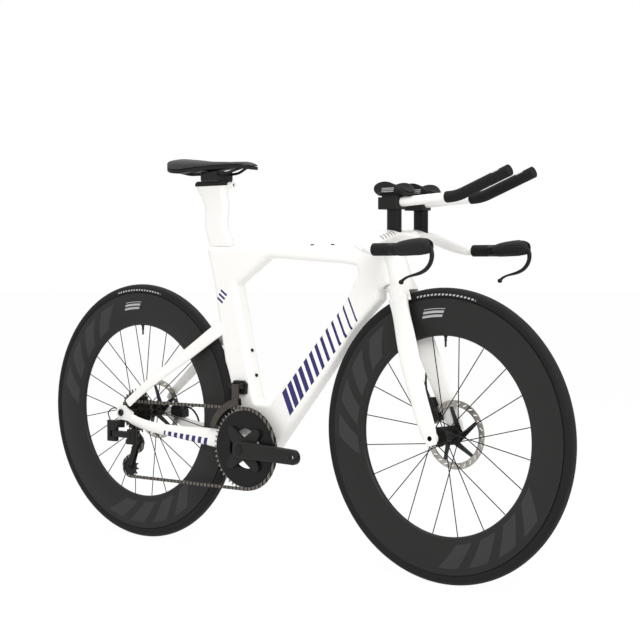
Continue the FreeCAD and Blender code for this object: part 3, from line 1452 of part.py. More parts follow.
def cassette():
    core = across(REAR, -END_Y + 6, -S.rear_right_flange - 2.6, 17)
    cogs = []
    for k, teeth in enumerate(COGS):
        middle = CHAIN_Y + (k - S.chain_cog) * S.cog_pitch
        first_gap = phase(REAR, teeth) if teeth == COG_TEETH else 0
        cogs.append(sprocket(REAR, teeth, first_gap, middle, S.tooth_thickness, 16))
    return core.fuse(cogs).cut(across(REAR, -100, 0, S.axle_radius + S.fit_gap))


def hexagon(centre, half_length, flat, half_height, y, thickness):
    corners = [(-half_length, 0), (-flat, half_height), (flat, half_height),
               (half_length, 0), (flat, -half_height), (-flat, -half_height)]
    spots = [V(centre + x, y, z) for x, z in corners]
    return Part.Face(Part.makePolygon(spots + spots[:1])).extrude(LEFT * thickness)


def chain():
    """Every link of the chain: inner links carry the rollers, outer plates overlap them."""
    half, plate, free = S.roller_width / 2, S.plate_thickness, S.seat_gap * 0.6
    pitch = S.chain_pitch
    length, flat, height = pitch / 2 + 3.9, pitch / 2 + 1.5, S.roller_radius
    inner = [hexagon(0, length, flat, height, y, plate) for y in (half, -half - plate)]
    roller = S.roller_radius
    for x in (-pitch / 2, pitch / 2):
        inner.append(hexagon(x, roller, roller / 2, roller * math.sqrt(0.75), -half, 2 * half))
    inner = inner[0].fuse(inner[1:])
    sides = (half + plate + free, -half - 2 * plate - free)
    outer = Part.makeCompound([hexagon(0, length, flat, height, y, plate) for y in sides])
    links = []
    for i, pin in enumerate(pins):
        after = pins[(i + 1) % len(pins)]
        way = after - pin
        turn = FreeCAD.Rotation(LEFT * -1, math.degrees(math.atan2(way.z, way.x)))
        place = FreeCAD.Placement((pin + after) * 0.5 + LEFT * CHAIN_Y, turn)
        link = (outer if i % 2 else inner).copy()
        link.Placement = place
        links.append(link)
    return Part.makeCompound(links)


def pulley(centre, teeth):
    """A jockey wheel with a bushing that fills the cage from plate to plate."""
    wheel = sprocket(centre, teeth, phase(centre, teeth), CHAIN_Y, 2, 1)
    hub_half = CAGE_HALF - S.seat_gap * 2
    wheel = wheel.fuse(across(centre, CHAIN_Y - hub_half, CHAIN_Y + hub_half, 6.5))
    return wheel.cut(across(centre, -100, 0, PULLEY_BOLT + S.fit_gap))


feature("crank_right", crank_right())
feature("crank_left", crank_left())
feature("outer_chainring", chainring(
    int(S.outer_teeth), phase(CRANK, int(S.outer_teeth)), CHAIN_Y, -RING_FACE, -RING_FACE + 3, 91, 51))
INNER_Y = CHAIN_Y + S.ring_step
feature("inner_chainring", chainring(int(S.inner_teeth), 0, INNER_Y, INNER_Y - 1, INNER_Y + 1, 61, 50))
feature("cassette", cassette())
feature("chain", chain())

# Rear derailleur: body on the hanger, a link that swings sideways, a knuckle and a sprung cage
HANGER_BOLT = REAR + V(-7, 0, -30)
CAGE_HALF, CAGE_PLATE, PULLEY_BOLT = 4.5, 1.5, 2.9
LINK_BACK, LINK_FRONT, LINK_Y = REAR.x - 15.5, REAR.x + 44.5, -END_Y - 17
LINK_LOW, LINK_HIGH = REAR.z - 64, REAR.z - 48
LINK_SPACE = LINK_LOW - 0.4, LINK_HIGH + 0.4
LINK_PIN, CAGE_PIN = 3, 4
RD_ROUNDING = 7
END_FACE = -END_Y - S.dropout_thickness


def hanger():
    points = [(-18, -19.7), (6, -19.7), (3, -40), (-17, -40)]
    plate = slab([(REAR.x + x, REAR.z + z) for x, z in points], END_FACE + 0.5, -END_Y - 0.5)
    plate = plate.cut(across(REAR, -200, 0, 19 + S.seat_gap))
    return plate.cut(across(HANGER_BOLT, -200, 0, 5))


def hinge_pin(x, low, high):
    return rod(V(x, LINK_Y, low), V(x, LINK_Y, high), LINK_PIN)


def rd_body(wire):
    y = (LINK_Y - 9, END_FACE - 3 * S.seat_gap)
    front = LINK_BACK + 9
    block = eased(box((LINK_BACK - 26, front), y, (LINK_LOW - 12, REAR.z - 21)), UP, RD_ROUNDING)
    throat = box((LINK_BACK - 11, front + 1), (y[0] - 1, y[1] + 1), LINK_SPACE)
    bolt = across(HANGER_BOLT, y[1] - 1, -END_Y - 0.7, 5 - S.fit_gap)
    shoulder = across(HANGER_BOLT, y[0], y[1], 10.5)
    pin = hinge_pin(LINK_BACK, LINK_LOW - 8, LINK_HIGH + 8)
    return block.cut(throat).fuse([bolt, shoulder, pin]).cut(wire)


def rd_link():
    start, end = V(LINK_BACK, LINK_Y, LINK_LOW), V(LINK_FRONT, LINK_Y, LINK_LOW)
    link = strap(start, 8, end, 8, V(0, 0, LINK_HIGH - LINK_LOW))
    for x in (LINK_BACK, LINK_FRONT):
        pin = rod(V(x, LINK_Y, LINK_LOW - 9), V(x, LINK_Y, LINK_HIGH + 9), LINK_PIN + S.fit_gap)
        link = link.cut(pin)
    return link


def rd_knuckle():
    y = (LINK_Y - 9, LINK_Y + 9)
    back = LINK_FRONT - 10
    block = eased(box((back, LINK_FRONT + 18), y, (LINK_LOW - 16, LINK_HIGH + 7)), UP, RD_ROUNDING)
    around = (y[0] - 1, y[1] + 1)
    throat = box((back - 1, LINK_FRONT + 10.5), around, LINK_SPACE)
    step = box((back - 1, back + 2), around, (LINK_HIGH, LINK_HIGH + 8))
    edge = CHAIN_Y - CAGE_HALF - CAGE_PLATE
    boss = across(PIVOT, y[0], edge - 3 * S.seat_gap, 7.5)
    pin = across(PIVOT, edge - 2, edge + CAGE_PLATE, CAGE_PIN)
    hinge = hinge_pin(LINK_FRONT, LINK_LOW - 6, LINK_HIGH + 6)
    return block.cut([throat, step]).fuse([boss, pin, hinge])


def rd_cage():
    outer, inner = CHAIN_Y - CAGE_HALF, CHAIN_Y + CAGE_HALF
    through = LEFT * CAGE_PLATE
    low = outer - CAGE_PLATE
    outer_plate = strap(at_side(PIVOT, low), 9, at_side(GUIDE, low), 9, through)
    outer_plate = outer_plate.fuse(strap(at_side(GUIDE, low), 9, at_side(TENSION, low), 8.5, through))
    outer_plate = outer_plate.cut(across(PIVOT, low - 1, outer + 1, CAGE_PIN + S.fit_gap))
    inner_plate = strap(at_side(GUIDE, inner), 8, at_side(TENSION, inner), 8, through)
    bolts = [across(spot, low, inner + CAGE_PLATE, PULLEY_BOLT) for spot in (GUIDE, TENSION)]
    return outer_plate.fuse([inner_plate] + bolts)


WIRE = [REAR + V(-9, -END_Y - 5, 6), REAR + V(-34, -END_Y - 6, 12), REAR + V(-50, LINK_Y + 4, -2),
        REAR + V(-36, LINK_Y, -18), REAR + V(-34, LINK_Y, -32)]
wire_space = hose(WIRE, S.wire_radius + S.seat_gap)
feature("derailleur_hanger", hanger())
feature("rd_body", rd_body(wire_space))
feature("rd_link", rd_link())
feature("rd_knuckle", rd_knuckle())
feature("rd_cage", rd_cage())
feature("guide_pulley", pulley(GUIDE, int(S.guide_teeth)))
feature("tension_pulley", pulley(TENSION, int(S.tension_teeth)))
feature("derailleur_wire", hose(WIRE, S.wire_radius))


# Front derailleur: body on the seat tube, cage swinging about a level pin
FD_Y, FD_Z = -S.frame_width / 2 - 15, CRANK.z + 154
FD_PIN = 2.5


def fd_band(low, high):
    """A curved strip over the outer chainring, between two Y values."""
    inner = pitch_radius(int(S.outer_teeth)) + 8
    outer = inner + 18
    band = across(CRANK, low, high, outer).cut(across(CRANK, low, high, inner))
    first, last = math.radians(99), math.radians(156)
    reach = 2.5 * outer
    wedge = [(CRANK.x, CRANK.z)]
    for angle in (first, (first + last) / 2, last):
        wedge.append((CRANK.x + reach * math.cos(angle), CRANK.z + reach * math.sin(angle)))
    return band.common(slab(wedge, low - 1, high + 1))


def fd_body():
    side = -S.frame_width / 2 - S.seat_gap
    outline = ((-60, -20), (-14, -20), (-12, 6), (-22, 14), (-52, 14), (-60, 4))
    plate = eased(slab([(CRANK.x + x, FD_Z + z) for x, z in outline], side - 9, side), LEFT, 4)
    starts = [CRANK.x - 60, CRANK.x - 25]
    lugs = [box((x, x + 9), (FD_Y - 5, side - 4), (FD_Z - 7, FD_Z + 7)) for x in starts]
    lugs = [eased(lug, V(1, 0, 0), 4) for lug in lugs]
    pin = rod(V(CRANK.x - 58, FD_Y, FD_Z), V(CRANK.x - 18, FD_Y, FD_Z), FD_PIN)
    return plate.fuse(lugs + [pin])


def fd_cage():
    outer_low, inner_low = CHAIN_Y - 6.5, CHAIN_Y + 5
    plates = fd_band(outer_low, outer_low + 1.5), fd_band(inner_low, inner_low + 1.5)
    top = CRANK.z + pitch_radius(int(S.outer_teeth)) + 22
    bridge = box((CRANK.x - 46, CRANK.x - 28), (outer_low, inner_low + 1.5), (top - 6, top - 3))
    arm = box((CRANK.x - 50, CRANK.x - 26), (inner_low, inner_low + 3), (top - 14, FD_Z))
    eye = rod(V(CRANK.x - 50, FD_Y, FD_Z), V(CRANK.x - 26, FD_Y, FD_Z), 5.5)
    tail_angle = math.radians(153)
    tail = CRANK + V(math.cos(tail_angle), 0, math.sin(tail_angle)) * (pitch_radius(int(S.outer_teeth)) + 18)
    tail_pin = across(tail, outer_low, inner_low + 1.5, 2)
    bore = rod(V(CRANK.x - 70, FD_Y, FD_Z), V(CRANK.x - 10, FD_Y, FD_Z), FD_PIN + S.fit_gap)
    return plates[0].fuse([plates[1], bridge, arm, eye, tail_pin]).cut(bore)


feature("front_derailleur_body", fd_body())
feature("front_derailleur_cage", fd_cage())


# Rear brake and axle
def rear_axle():
    """Through axle with a spacer beside the cassette and a plug outside the right frame end."""
    end = END_Y + S.dropout_thickness
    axle = across(REAR, -end - 1, end + 1, S.axle_radius)
    spacer = across(REAR, -END_Y + S.seat_gap, -END_Y + 5.7, S.axle_radius + 3.5)
    plug = across(REAR, -end - 2.6, -end - 3 * S.seat_gap, S.axle_radius + 2)
    head = across(REAR, end + 3 * S.seat_gap, end + 2.6, S.axle_radius + 2)
    return axle.fuse([spacer, plug, head])


REAR_CALIPER = [(60, 30), (104, 24), (104, 44), (94, 58), (68, 58), (60, 50)]
REAR_HOSE = [REAR + V(94, 62, 12), REAR + V(124, 60, 8), REAR + V(148, 57, -12), REAR + V(157, 55, -38)]


def rear_caliper(left_chainstay):
    outline = [(REAR.x + x, REAR.z + z) for x, z in REAR_CALIPER]
    block = slab(outline, S.rear_rotor_offset - 11.5, S.rear_rotor_offset + 12.5)
    block = eased(block, LEFT, CALIPER_ROUNDING)
    block = settle(block, left_chainstay, V(0, 0, -1), 3 * S.seat_gap)
    return block.cut(caliper_slot(REAR, S.rear_rotor_offset))


left_chainstay = right_chainstay.mirror(V(0, 0, 0), LEFT)
rear_hose_space = hose(REAR_HOSE, S.hose_radius + S.seat_gap)
feature("chainstays", Part.makeCompound([
    largest(right_chainstay.cut(wire_space)), largest(left_chainstay.cut(rear_hose_space))]))
feature("rear_axle", rear_axle())
feature("rear_caliper", largest(rear_caliper(left_chainstay).cut(rear_hose_space)))
feature("rear_brake_hose", hose(REAR_HOSE, S.hose_radius))


# Checks, then the files
doc.recompute()
broken = [obj.Label for obj in doc.Objects if {"Invalid", "Error"} & set(obj.State)]
for obj in PARTS:
    if obj.Shape.isNull() or not obj.Shape.isValid() or not obj.Shape.Solids:
        broken.append(obj.Label)
if broken:
    raise RuntimeError("these sub-parts failed: %s" % ", ".join(broken))
os.makedirs("parts", exist_ok=True)
for obj in PARTS:
    obj.Shape.exportStep("parts/%s.step" % obj.Label)
print("%d sub-parts written" % len(PARTS))
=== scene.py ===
# %% [markdown]
# # A white time trial bicycle
# The packed solids of the bicycle are the fixed frame of this scene. Blender adds what the solids leave
# out: finishes, padding, printed stripes and small fasteners. Everything is in metres, with +X the way
# the bicycle rides, +Y its left side and +Z up. A place is read from the solids' boxes where it can be,
# so that a new piece sits right without being placed by eye.

# %% Load the frame
import math

import bmesh
import bpy
from mathutils import Matrix, Vector


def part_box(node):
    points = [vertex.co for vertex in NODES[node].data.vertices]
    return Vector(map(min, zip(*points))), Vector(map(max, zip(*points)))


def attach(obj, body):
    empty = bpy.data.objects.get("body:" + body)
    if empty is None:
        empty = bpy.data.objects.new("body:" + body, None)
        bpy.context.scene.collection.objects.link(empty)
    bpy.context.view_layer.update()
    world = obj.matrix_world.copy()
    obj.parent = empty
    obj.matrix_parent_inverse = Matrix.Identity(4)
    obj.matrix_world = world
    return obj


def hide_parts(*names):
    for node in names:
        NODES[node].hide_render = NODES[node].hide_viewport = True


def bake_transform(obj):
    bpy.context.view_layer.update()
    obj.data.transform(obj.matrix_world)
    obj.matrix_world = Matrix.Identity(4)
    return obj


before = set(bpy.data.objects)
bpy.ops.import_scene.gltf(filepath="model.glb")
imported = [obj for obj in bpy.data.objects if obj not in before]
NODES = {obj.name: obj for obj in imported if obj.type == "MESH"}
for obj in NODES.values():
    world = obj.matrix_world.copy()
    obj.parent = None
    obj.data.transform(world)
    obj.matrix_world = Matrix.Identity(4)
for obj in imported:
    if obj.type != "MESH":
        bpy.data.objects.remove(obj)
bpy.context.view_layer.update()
scene = bpy.context.scene


def centre_of(node):
    """The middle of a solid's box."""
    low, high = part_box(node)
    return (low + high) / 2


def add_object(name, data):
    """A new object in the scene."""
    thing = bpy.data.objects.new(name, data)
    scene.collection.objects.link(thing)
    return thing


def piece_from(name, form, finish=None):
    """A new piece from a bmesh, which is freed."""
    mesh = bpy.data.meshes.new(name)
    form.to_mesh(mesh)
    form.free()
    if finish:
        mesh.materials.append(finish.material)
    return add_object(name, mesh)


def aim(thing, place, target):
    """Puts a camera or a lamp at a place and turns it towards a target."""
    thing.location = place
    thing.rotation_mode = "QUATERNION"
    thing.rotation_quaternion = (Vector(target) - Vector(place)).to_track_quat("-Z", "Y")


FRONT_WHEEL = centre_of("front_tyre")
REAR_WHEEL = centre_of("rear_tyre")
CRANK = centre_of("crank_bearings")
print("axles", [round(x, 4) for x in FRONT_WHEEL], [round(x, 4) for x in REAR_WHEEL])

# %% [markdown]
# The photograph is taken from the right and the front, a little above the axles and from about four
# metres. A camera close by would make the front wheel look much larger than the rear one, so this camera
# stands as far off as the real one did and has a long lens: 85.6 mm on a 36 mm sensor covers the square
# picture.

# %% Camera
EYE = (2.4657, -2.8475, 0.7278)
LOOK_AT = (0.1226, 0.0, 0.5958)
SENSOR_MM, LENS_MM = 36, 85.56
camera = add_object("camera", bpy.data.cameras.new("camera"))
camera.data.sensor_width = SENSOR_MM
camera.data.lens = LENS_MM
aim(camera, EYE, LOOK_AT)
scene.camera = camera
scene.view_settings.view_transform = "Standard"
print("camera", round((Vector(EYE) - Vector(LOOK_AT)).length, 2), "m from what it looks at")

# %% [markdown]
# Every finish is a Principled shader whose inputs depend on the place on the object. Node trees could be
# wired by hand in the editor, but in a script they soon get hard to read. A small class helps: each
# method adds one node, or a few, and returns the output. Values that are the same all over stay on the
# shader's own sockets.

# %% Helpers for node trees
class Finish:
    """A material, with methods that add nodes to it."""

    def __init__(self, name, colour, roughness, metallic=0.0, specular=0.5, **sockets):
        self.material = bpy.data.materials.new(name)
        self.material.use_nodes = True
        self.nodes = self.material.node_tree.nodes
        self.links = self.material.node_tree.links
        self.shader = self.nodes["Principled BSDF"]
        self.place = self.nodes.new("ShaderNodeTexCoord").outputs["Object"]
        self.set("Base Color", (*colour, 1))
        self.set("Roughness", roughness)
        self.set("Metallic", metallic)
        self.set("Specular IOR Level", specular)
        for socket, value in sockets.items():
            self.set(socket.replace("_", " ").title(), value)
        self.material.diffuse_color = (*colour, 1)

    def put(self, value, socket):
        """A socket takes a constant, or a link from another node."""
        if isinstance(value, bpy.types.NodeSocket):
            self.links.new(value, socket)
        else:
            socket.default_value = value

    def set(self, socket, value):
        """Sets an input of the shader by its name."""
        self.put(value, self.shader.inputs[socket])

    def math(self, operation, *values):
        """One Math node."""
        node = self.nodes.new("ShaderNodeMath")
        node.operation = operation
        for value, socket in zip(values, node.inputs):
            self.put(value, socket)
        return node.outputs[0]

    def all_of(self, *masks):
        """1 where every mask is 1."""
        result = masks[0]
        for mask in masks[1:]:
            result = self.math("MULTIPLY", result, mask)
        return result

    def between(self, value, low, high):
        """1 where a value lies between two limits."""
        return self.all_of(self.math("GREATER_THAN", value, low), self.math("LESS_THAN", value, high))

    def bars(self, value, pitch, share):
        """1 on the first share of every pitch, and 0 on the rest of it."""
        return self.math("LESS_THAN", self.math("FRACT", self.math("DIVIDE", value, pitch)), share)

    def leaning(self, value, other, slope):
        """A value plus a share of another, so that bars cut from it stand at a slant."""
        return self.math("ADD", value, self.math("MULTIPLY", other, slope))

    def moved(self, origin=(0, 0, 0), turn=(0, 0, 0), scale=(1, 1, 1)):
        """The place measured from an origin, turned and stretched."""
        shift = self.nodes.new("ShaderNodeVectorMath")
        shift.operation = "SUBTRACT"
        self.put(self.place, shift.inputs[0])
        shift.inputs[1].default_value = origin
        mapping = self.nodes.new("ShaderNodeMapping")
        mapping.inputs["Rotation"].default_value = turn
        mapping.inputs["Scale"].default_value = scale
        self.put(shift.outputs[0], mapping.inputs["Vector"])
        return mapping.outputs[0]

    def split(self, vector):
        """The three numbers of a vector."""
        node = self.nodes.new("ShaderNodeSeparateXYZ")
        self.put(vector, node.inputs[0])
        return node.outputs

    def polar(self, centre):
        """Radius and angle about a level axle, the angle from 0 to 1 round the wheel."""
        x, _, z = self.split(self.moved(centre))
        squares = self.math("ADD", self.math("MULTIPLY", x, x), self.math("MULTIPLY", z, z))
        angle = self.math("DIVIDE", self.math("ARCTAN2", z, x), 2 * math.pi)
        return self.math("SQRT", squares), self.math("FRACT", self.math("ADD", angle, 1.0))

    def noise(self, scale, detail=2.0, vector=None):
        """Cloudy noise from 0 to 1."""
        node = self.nodes.new("ShaderNodeTexNoise")
        node.inputs["Scale"].default_value = scale
        node.inputs["Detail"].default_value = detail
        self.put(vector if vector is not None else self.place, node.inputs["Vector"])
        return node.outputs["Fac"]

    def cells(self, scale):
        """Distance from the middle of small random cells."""
        node = self.nodes.new("ShaderNodeTexVoronoi")
        node.inputs["Scale"].default_value = scale
        self.put(self.place, node.inputs["Vector"])
        return node.outputs["Distance"]

    def spread(self, value, low, high):
        """A value from 0 to 1 spread over another range."""
        node = self.nodes.new("ShaderNodeMapRange")
        self.put(value, node.inputs["Value"])
        node.inputs["To Min"].default_value = low
        node.inputs["To Max"].default_value = high
        return node.outputs["Result"]

    def mix(self, share, first, second):
        """The first colour where the share is 0, the second where it is 1."""
        node = self.nodes.new("ShaderNodeMix")
        node.data_type = "RGBA"
        self.put(share, node.inputs["Factor"])
        for name, value in (("A", first), ("B", second)):
            socket = next(s for s in node.inputs if s.name == name and s.type == "RGBA")
            self.put(value if isinstance(value, bpy.types.NodeSocket) else (*value, 1), socket)
        return next(s for s in node.outputs if s.type == "RGBA")

    def colour_so_far(self):
        """What is linked to the base colour now."""
        return self.shader.inputs["Base Color"].links[0].from_socket

    def bump(self, height, depth, strength=1.0):
        """Fine relief in the shading, from a height between 0 and 1."""
        node = self.nodes.new("ShaderNodeBump")
        node.inputs["Strength"].default_value = strength
        node.inputs["Distance"].default_value = depth
        self.put(height, node.inputs["Height"])
        self.set("Normal", node.outputs["Normal"])


print("a finish has", len([name for name in vars(Finish) if not name.startswith("_")]), "methods")

# %% [markdown]
# ## Paint
# The frame, fork, post, stem and extensions are sprayed in one slightly warm white under clear lacquer. A
# plain white would look like plastic. The lacquer is the shader's coat, noise lets the white drift a
# little, and a very shallow bump is the orange peel that a spray gun leaves.

# %% White paint
WHITE, WHITE_SHADE = (0.905, 0.892, 0.862), (0.875, 0.862, 0.83)
INK = (0.014, 0.008, 0.125)
PEEL_DEPTH = 0.00004


def white_paint(name):
    paint = Finish(name, WHITE, 0.3, specular=0.2, coat_weight=0.45, coat_roughness=0.06)
    paint.set("Base Color", paint.mix(paint.noise(9.0, detail=3.0), WHITE, WHITE_SHADE))
    paint.set("Roughness", paint.spread(paint.noise(60.0), 0.24, 0.34))
    paint.bump(paint.noise(900.0, detail=1.0), PEEL_DEPTH, strength=0.25)
    return paint


def printed(paint, mask, ink=INK):
    """Ink under the lacquer where the mask is 1."""
    paint.set("Base Color", paint.mix(mask, paint.colour_so_far(), ink))
    print(paint.material.name, "printed, nodes", len(paint.nodes))
    return paint


plain_white = white_paint("white_paint")

# %% [markdown]
# The down tube carries a print in dark violet blue. Here it is a generic one: slanted bars that grow
# thinner towards the head tube, and three short bars on the seat tube. It could be an image on a UV map.
# Instead a Mapping node turns the place into lengths along and across the tube, and Math nodes cut bars
# out of them, so the print stays sharp from close by and the frame needs no UV map.

# %% Bars on the main frame
TUBE_MIDDLE, TUBE_SLOPE = (0.0855, 0.0, 0.444), math.atan2(0.7526, 0.6585)
TUBE_BAR_PITCH, TUBE_BAR_LEAN = 0.026, -0.45
TUBE_BAR_SHARE, TUBE_BAR_THINNING = 0.62, -1.75
TUBE_PRINT_ALONG, TUBE_PRINT_ACROSS = (-0.078, 0.26), (-0.026, 0.030)
SEAT_MARK, SEAT_MARK_TURN = (-0.183, 0.0, 0.647), math.radians(-35)
SEAT_BAR_PITCH, SEAT_BAR_SHARE = 0.0115, 0.5
SEAT_PRINT_ALONG, SEAT_PRINT_ACROSS = (-0.0115, 0.0175), (-0.012, 0.012)


def main_frame_bars(paint):
    along, _, across = paint.split(paint.moved(TUBE_MIDDLE, (0, TUBE_SLOPE, 0)))
    lean = paint.leaning(along, across, TUBE_BAR_LEAN)
    down_tube = paint.all_of(
        paint.bars(lean, TUBE_BAR_PITCH, paint.leaning(TUBE_BAR_SHARE, lean, TUBE_BAR_THINNING)),
        paint.between(lean, *TUBE_PRINT_ALONG),
        paint.between(across, *TUBE_PRINT_ACROSS))
    across, _, along = paint.split(paint.moved(SEAT_MARK, (0, SEAT_MARK_TURN, 0)))
    seat_tube = paint.all_of(
        paint.bars(along, SEAT_BAR_PITCH, SEAT_BAR_SHARE),
        paint.between(across, *SEAT_PRINT_ACROSS),
        paint.between(along, *SEAT_PRINT_ALONG))
    return paint.math("MAXIMUM", down_tube, seat_tube)


striped_white = white_paint("white_paint_striped")
printed(striped_white, main_frame_bars(striped_white))

# %% [markdown]
# Each chainstay has a row of small dashes in the same ink. A stay is almost level, so its dashes can be
# cut from the place as it is, without a Mapping node: steps in X that lean with Z, between two heights
# that fall a little towards the front, and only away from the middle plane.

# %% Dashes on the chainstays
STAY_DASH_PITCH, STAY_DASH_SHARE, STAY_DASH_LEAN = 0.019, 0.55, -0.4
STAY_PRINT_ALONG, STAY_PRINT_HEIGHT, STAY_FALL = (-0.47, -0.33), (0.247, 0.268), 0.09
STAY_PRINT_OUTSIDE = 0.03


def chainstay_dashes(paint):
    x, y, z = paint.split(paint.place)
    lean = paint.leaning(x, z, STAY_DASH_LEAN)
    return paint.all_of(
        paint.bars(lean, STAY_DASH_PITCH, STAY_DASH_SHARE),
        paint.between(lean, *STAY_PRINT_ALONG),
        paint.between(paint.leaning(z, x, STAY_FALL), *STAY_PRINT_HEIGHT),
        paint.math("GREATER_THAN", paint.math("ABSOLUTE", y), STAY_PRINT_OUTSIDE))


marked_white = white_paint("white_paint_marked")
printed(marked_white, chainstay_dashes(marked_white))

# %% [markdown]
# The right wing of the base bar has a small grey print that runs up the wing. The place is turned about X
# by the slope of the wing, and five slanted dashes are cut from it in the same way.

# %% Dashes on the base bar
WING_MARK, WING_SLOPE = (0.0, -0.104, 0.7955), math.radians(-13)
WING_DASH_PITCH, WING_DASH_SHARE, WING_DASH_LEAN = 0.0125, 0.4, -0.5
WING_PRINT_ALONG, WING_PRINT_ACROSS = (-0.03, 0.03), (-0.004, 0.004)
WING_GREY = (0.30, 0.30, 0.30)


def base_bar_dashes(paint):
    _, along, across = paint.split(paint.moved(WING_MARK, (WING_SLOPE, 0, 0)))
    lean = paint.leaning(along, across, WING_DASH_LEAN)
    return paint.all_of(
        paint.bars(lean, WING_DASH_PITCH, WING_DASH_SHARE),
        paint.between(lean, *WING_PRINT_ALONG),
        paint.between(across, *WING_PRINT_ACROSS))


bar_white = white_paint("white_paint_bar")
printed(bar_white, base_bar_dashes(bar_white), WING_GREY)

# %% [markdown]
# ## Wheels
# A deep rim is bare carbon under matt lacquer: nearly black, with a faint fibre grain, large slanted
# shapes in a slightly lighter grey and one small pale label. An image would need a UV map that runs round
# the rim. Polar coordinates about the axle do the same from the place alone, and the shapes turn with the
# wheel.

# %% Rims
RIM_BLACKS, RIM_GREY = ((0.014, 0.0135, 0.013), (0.021, 0.020, 0.0195)), (0.036, 0.035, 0.0345)
RIM_SHAPE_BAND, RIM_SHAPE_LEAN = (0.246, 0.300), 0.55
SHAPE_PITCH, SHAPE_SHARE = 1 / 22, 0.62
GROUP_OFFSET, GROUP_SPAN = 0.14, (-0.1, 0.08)
LABEL_BAND, LABEL_HALF_TURN, LABEL_LEAN = (0.2705, 0.2925), 0.016, 0.25
LABEL_LINE_PITCH, LABEL_LINE_SHARE, LABEL_GREY = 1 / 110, 0.6, (0.42, 0.42, 0.42)


def rim_finish(name, wheel, groups, label):
    """groups: where the two groups of shapes begin, and label: where the label lies, in turns."""
    carbon = Finish(name, (0.018, 0.017, 0.017), 0.45, specular=0.18)
    radius, turn = carbon.polar(wheel)
    grain = carbon.noise(260.0, vector=carbon.moved(wheel, scale=(1, 1, 6)))
    in_band = carbon.between(radius, *RIM_SHAPE_BAND)
    lean = carbon.leaning(turn, radius, RIM_SHAPE_LEAN)
    masks = []
    for start in groups:
        from_start = carbon.math("FRACT", carbon.math("SUBTRACT", lean, start))
        place = carbon.math("SUBTRACT", from_start, GROUP_OFFSET)
        shapes = carbon.bars(place, SHAPE_PITCH, SHAPE_SHARE)
        masks.append(carbon.all_of(shapes, carbon.between(place, *GROUP_SPAN), in_band))
    colour = carbon.mix(carbon.math("MAXIMUM", *masks), carbon.mix(grain, *RIM_BLACKS), RIM_GREY)
    label_place = carbon.leaning(turn, radius, LABEL_LEAN)
    plate = carbon.all_of(
        carbon.bars(radius, LABEL_LINE_PITCH, LABEL_LINE_SHARE),
        carbon.between(radius, *LABEL_BAND),
        carbon.between(label_place, label - LABEL_HALF_TURN, label + LABEL_HALF_TURN))
    carbon.set("Base Color", carbon.mix(plate, colour, LABEL_GREY))
    carbon.set("Roughness", carbon.spread(grain, 0.38, 0.48))
    carbon.bump(grain, 0.00006, strength=0.2)
    print(name, "nodes", len(carbon.nodes))
    return carbon


front_carbon = rim_finish("rim_carbon_front", FRONT_WHEEL, (0.46, 0.86), 0.335)
rear_carbon = rim_finish("rim_carbon_rear", REAR_WHEEL, (0.42, 0.80), 0.335)

# %% [markdown]
# A tyre is dull rubber, a little lighter on the tread than on its sides. The sides have fine moulded
# rings by the rim and a short row of pale dashes. The rings could be modelled, but they are a fraction of
# a millimetre deep, so a bump is enough.

# %% Tyres
TREAD_HALF = 0.0085
SIDE_BLACK, TREAD_BLACK, TYRE_PRINT_GREY = (0.010, 0.010, 0.0098), (0.017, 0.017, 0.0165), (0.5, 0.5, 0.5)
TYRE_PRINT_BAND, TYRE_PRINT_HALF_TURN = (0.3215, 0.3255), 0.04
TYRE_DASH_PITCH, TYRE_DASH_SHARE, TYRE_DASH_LEAN = 1 / 200, 0.55, 0.3
RING_PITCH, RING_SHARE, RINGS_INSIDE = 1 / 160, 0.25, 0.3205


def tyre_finish(name, wheel, label):
    """label: where the dashes lie, in turns."""
    rubber = Finish(name, SIDE_BLACK, 0.62, specular=0.15)
    radius, turn = rubber.polar(wheel)
    _, side, _ = rubber.split(rubber.moved(wheel))
    tread = rubber.math("LESS_THAN", rubber.math("ABSOLUTE", side), TREAD_HALF)
    dashes = rubber.all_of(
        rubber.bars(rubber.leaning(turn, radius, TYRE_DASH_LEAN), TYRE_DASH_PITCH, TYRE_DASH_SHARE),
        rubber.between(radius, *TYRE_PRINT_BAND),
        rubber.between(turn, label - TYRE_PRINT_HALF_TURN, label + TYRE_PRINT_HALF_TURN))
    colour = rubber.mix(tread, SIDE_BLACK, TREAD_BLACK)
    rubber.set("Base Color", rubber.mix(dashes, colour, TYRE_PRINT_GREY))
    grain = rubber.noise(1400.0)
    rubber.set("Roughness", rubber.spread(grain, 0.52, 0.72))
    rings = rubber.all_of(
        rubber.bars(radius, RING_PITCH, RING_SHARE), rubber.math("LESS_THAN", radius, RINGS_INSIDE))
    rubber.bump(rubber.leaning(grain, rings, 2.0), 0.0002, strength=0.35)
    print(name, "nodes", len(rubber.nodes))
    return rubber


front_rubber = tyre_finish("tyre_rubber_front", FRONT_WHEEL, 0.245)
rear_rubber = tyre_finish("tyre_rubber_rear", REAR_WHEEL, 0.25)

# %% [markdown]
# Brake discs have a ground steel track on a black anodised spider. The two could be separate solids with
# a material each. The change lies at one radius, so polar coordinates split the two metals on one solid.
# Fine rings in the roughness are the marks of grinding.

# %% Brake discs
TRACK_FROM, GRINDING_PITCH = 0.0655, 1 / 2600
SPIDER_BLACK, TRACK_STEEL = (0.012, 0.012, 0.012), (0.40, 0.38, 0.35)


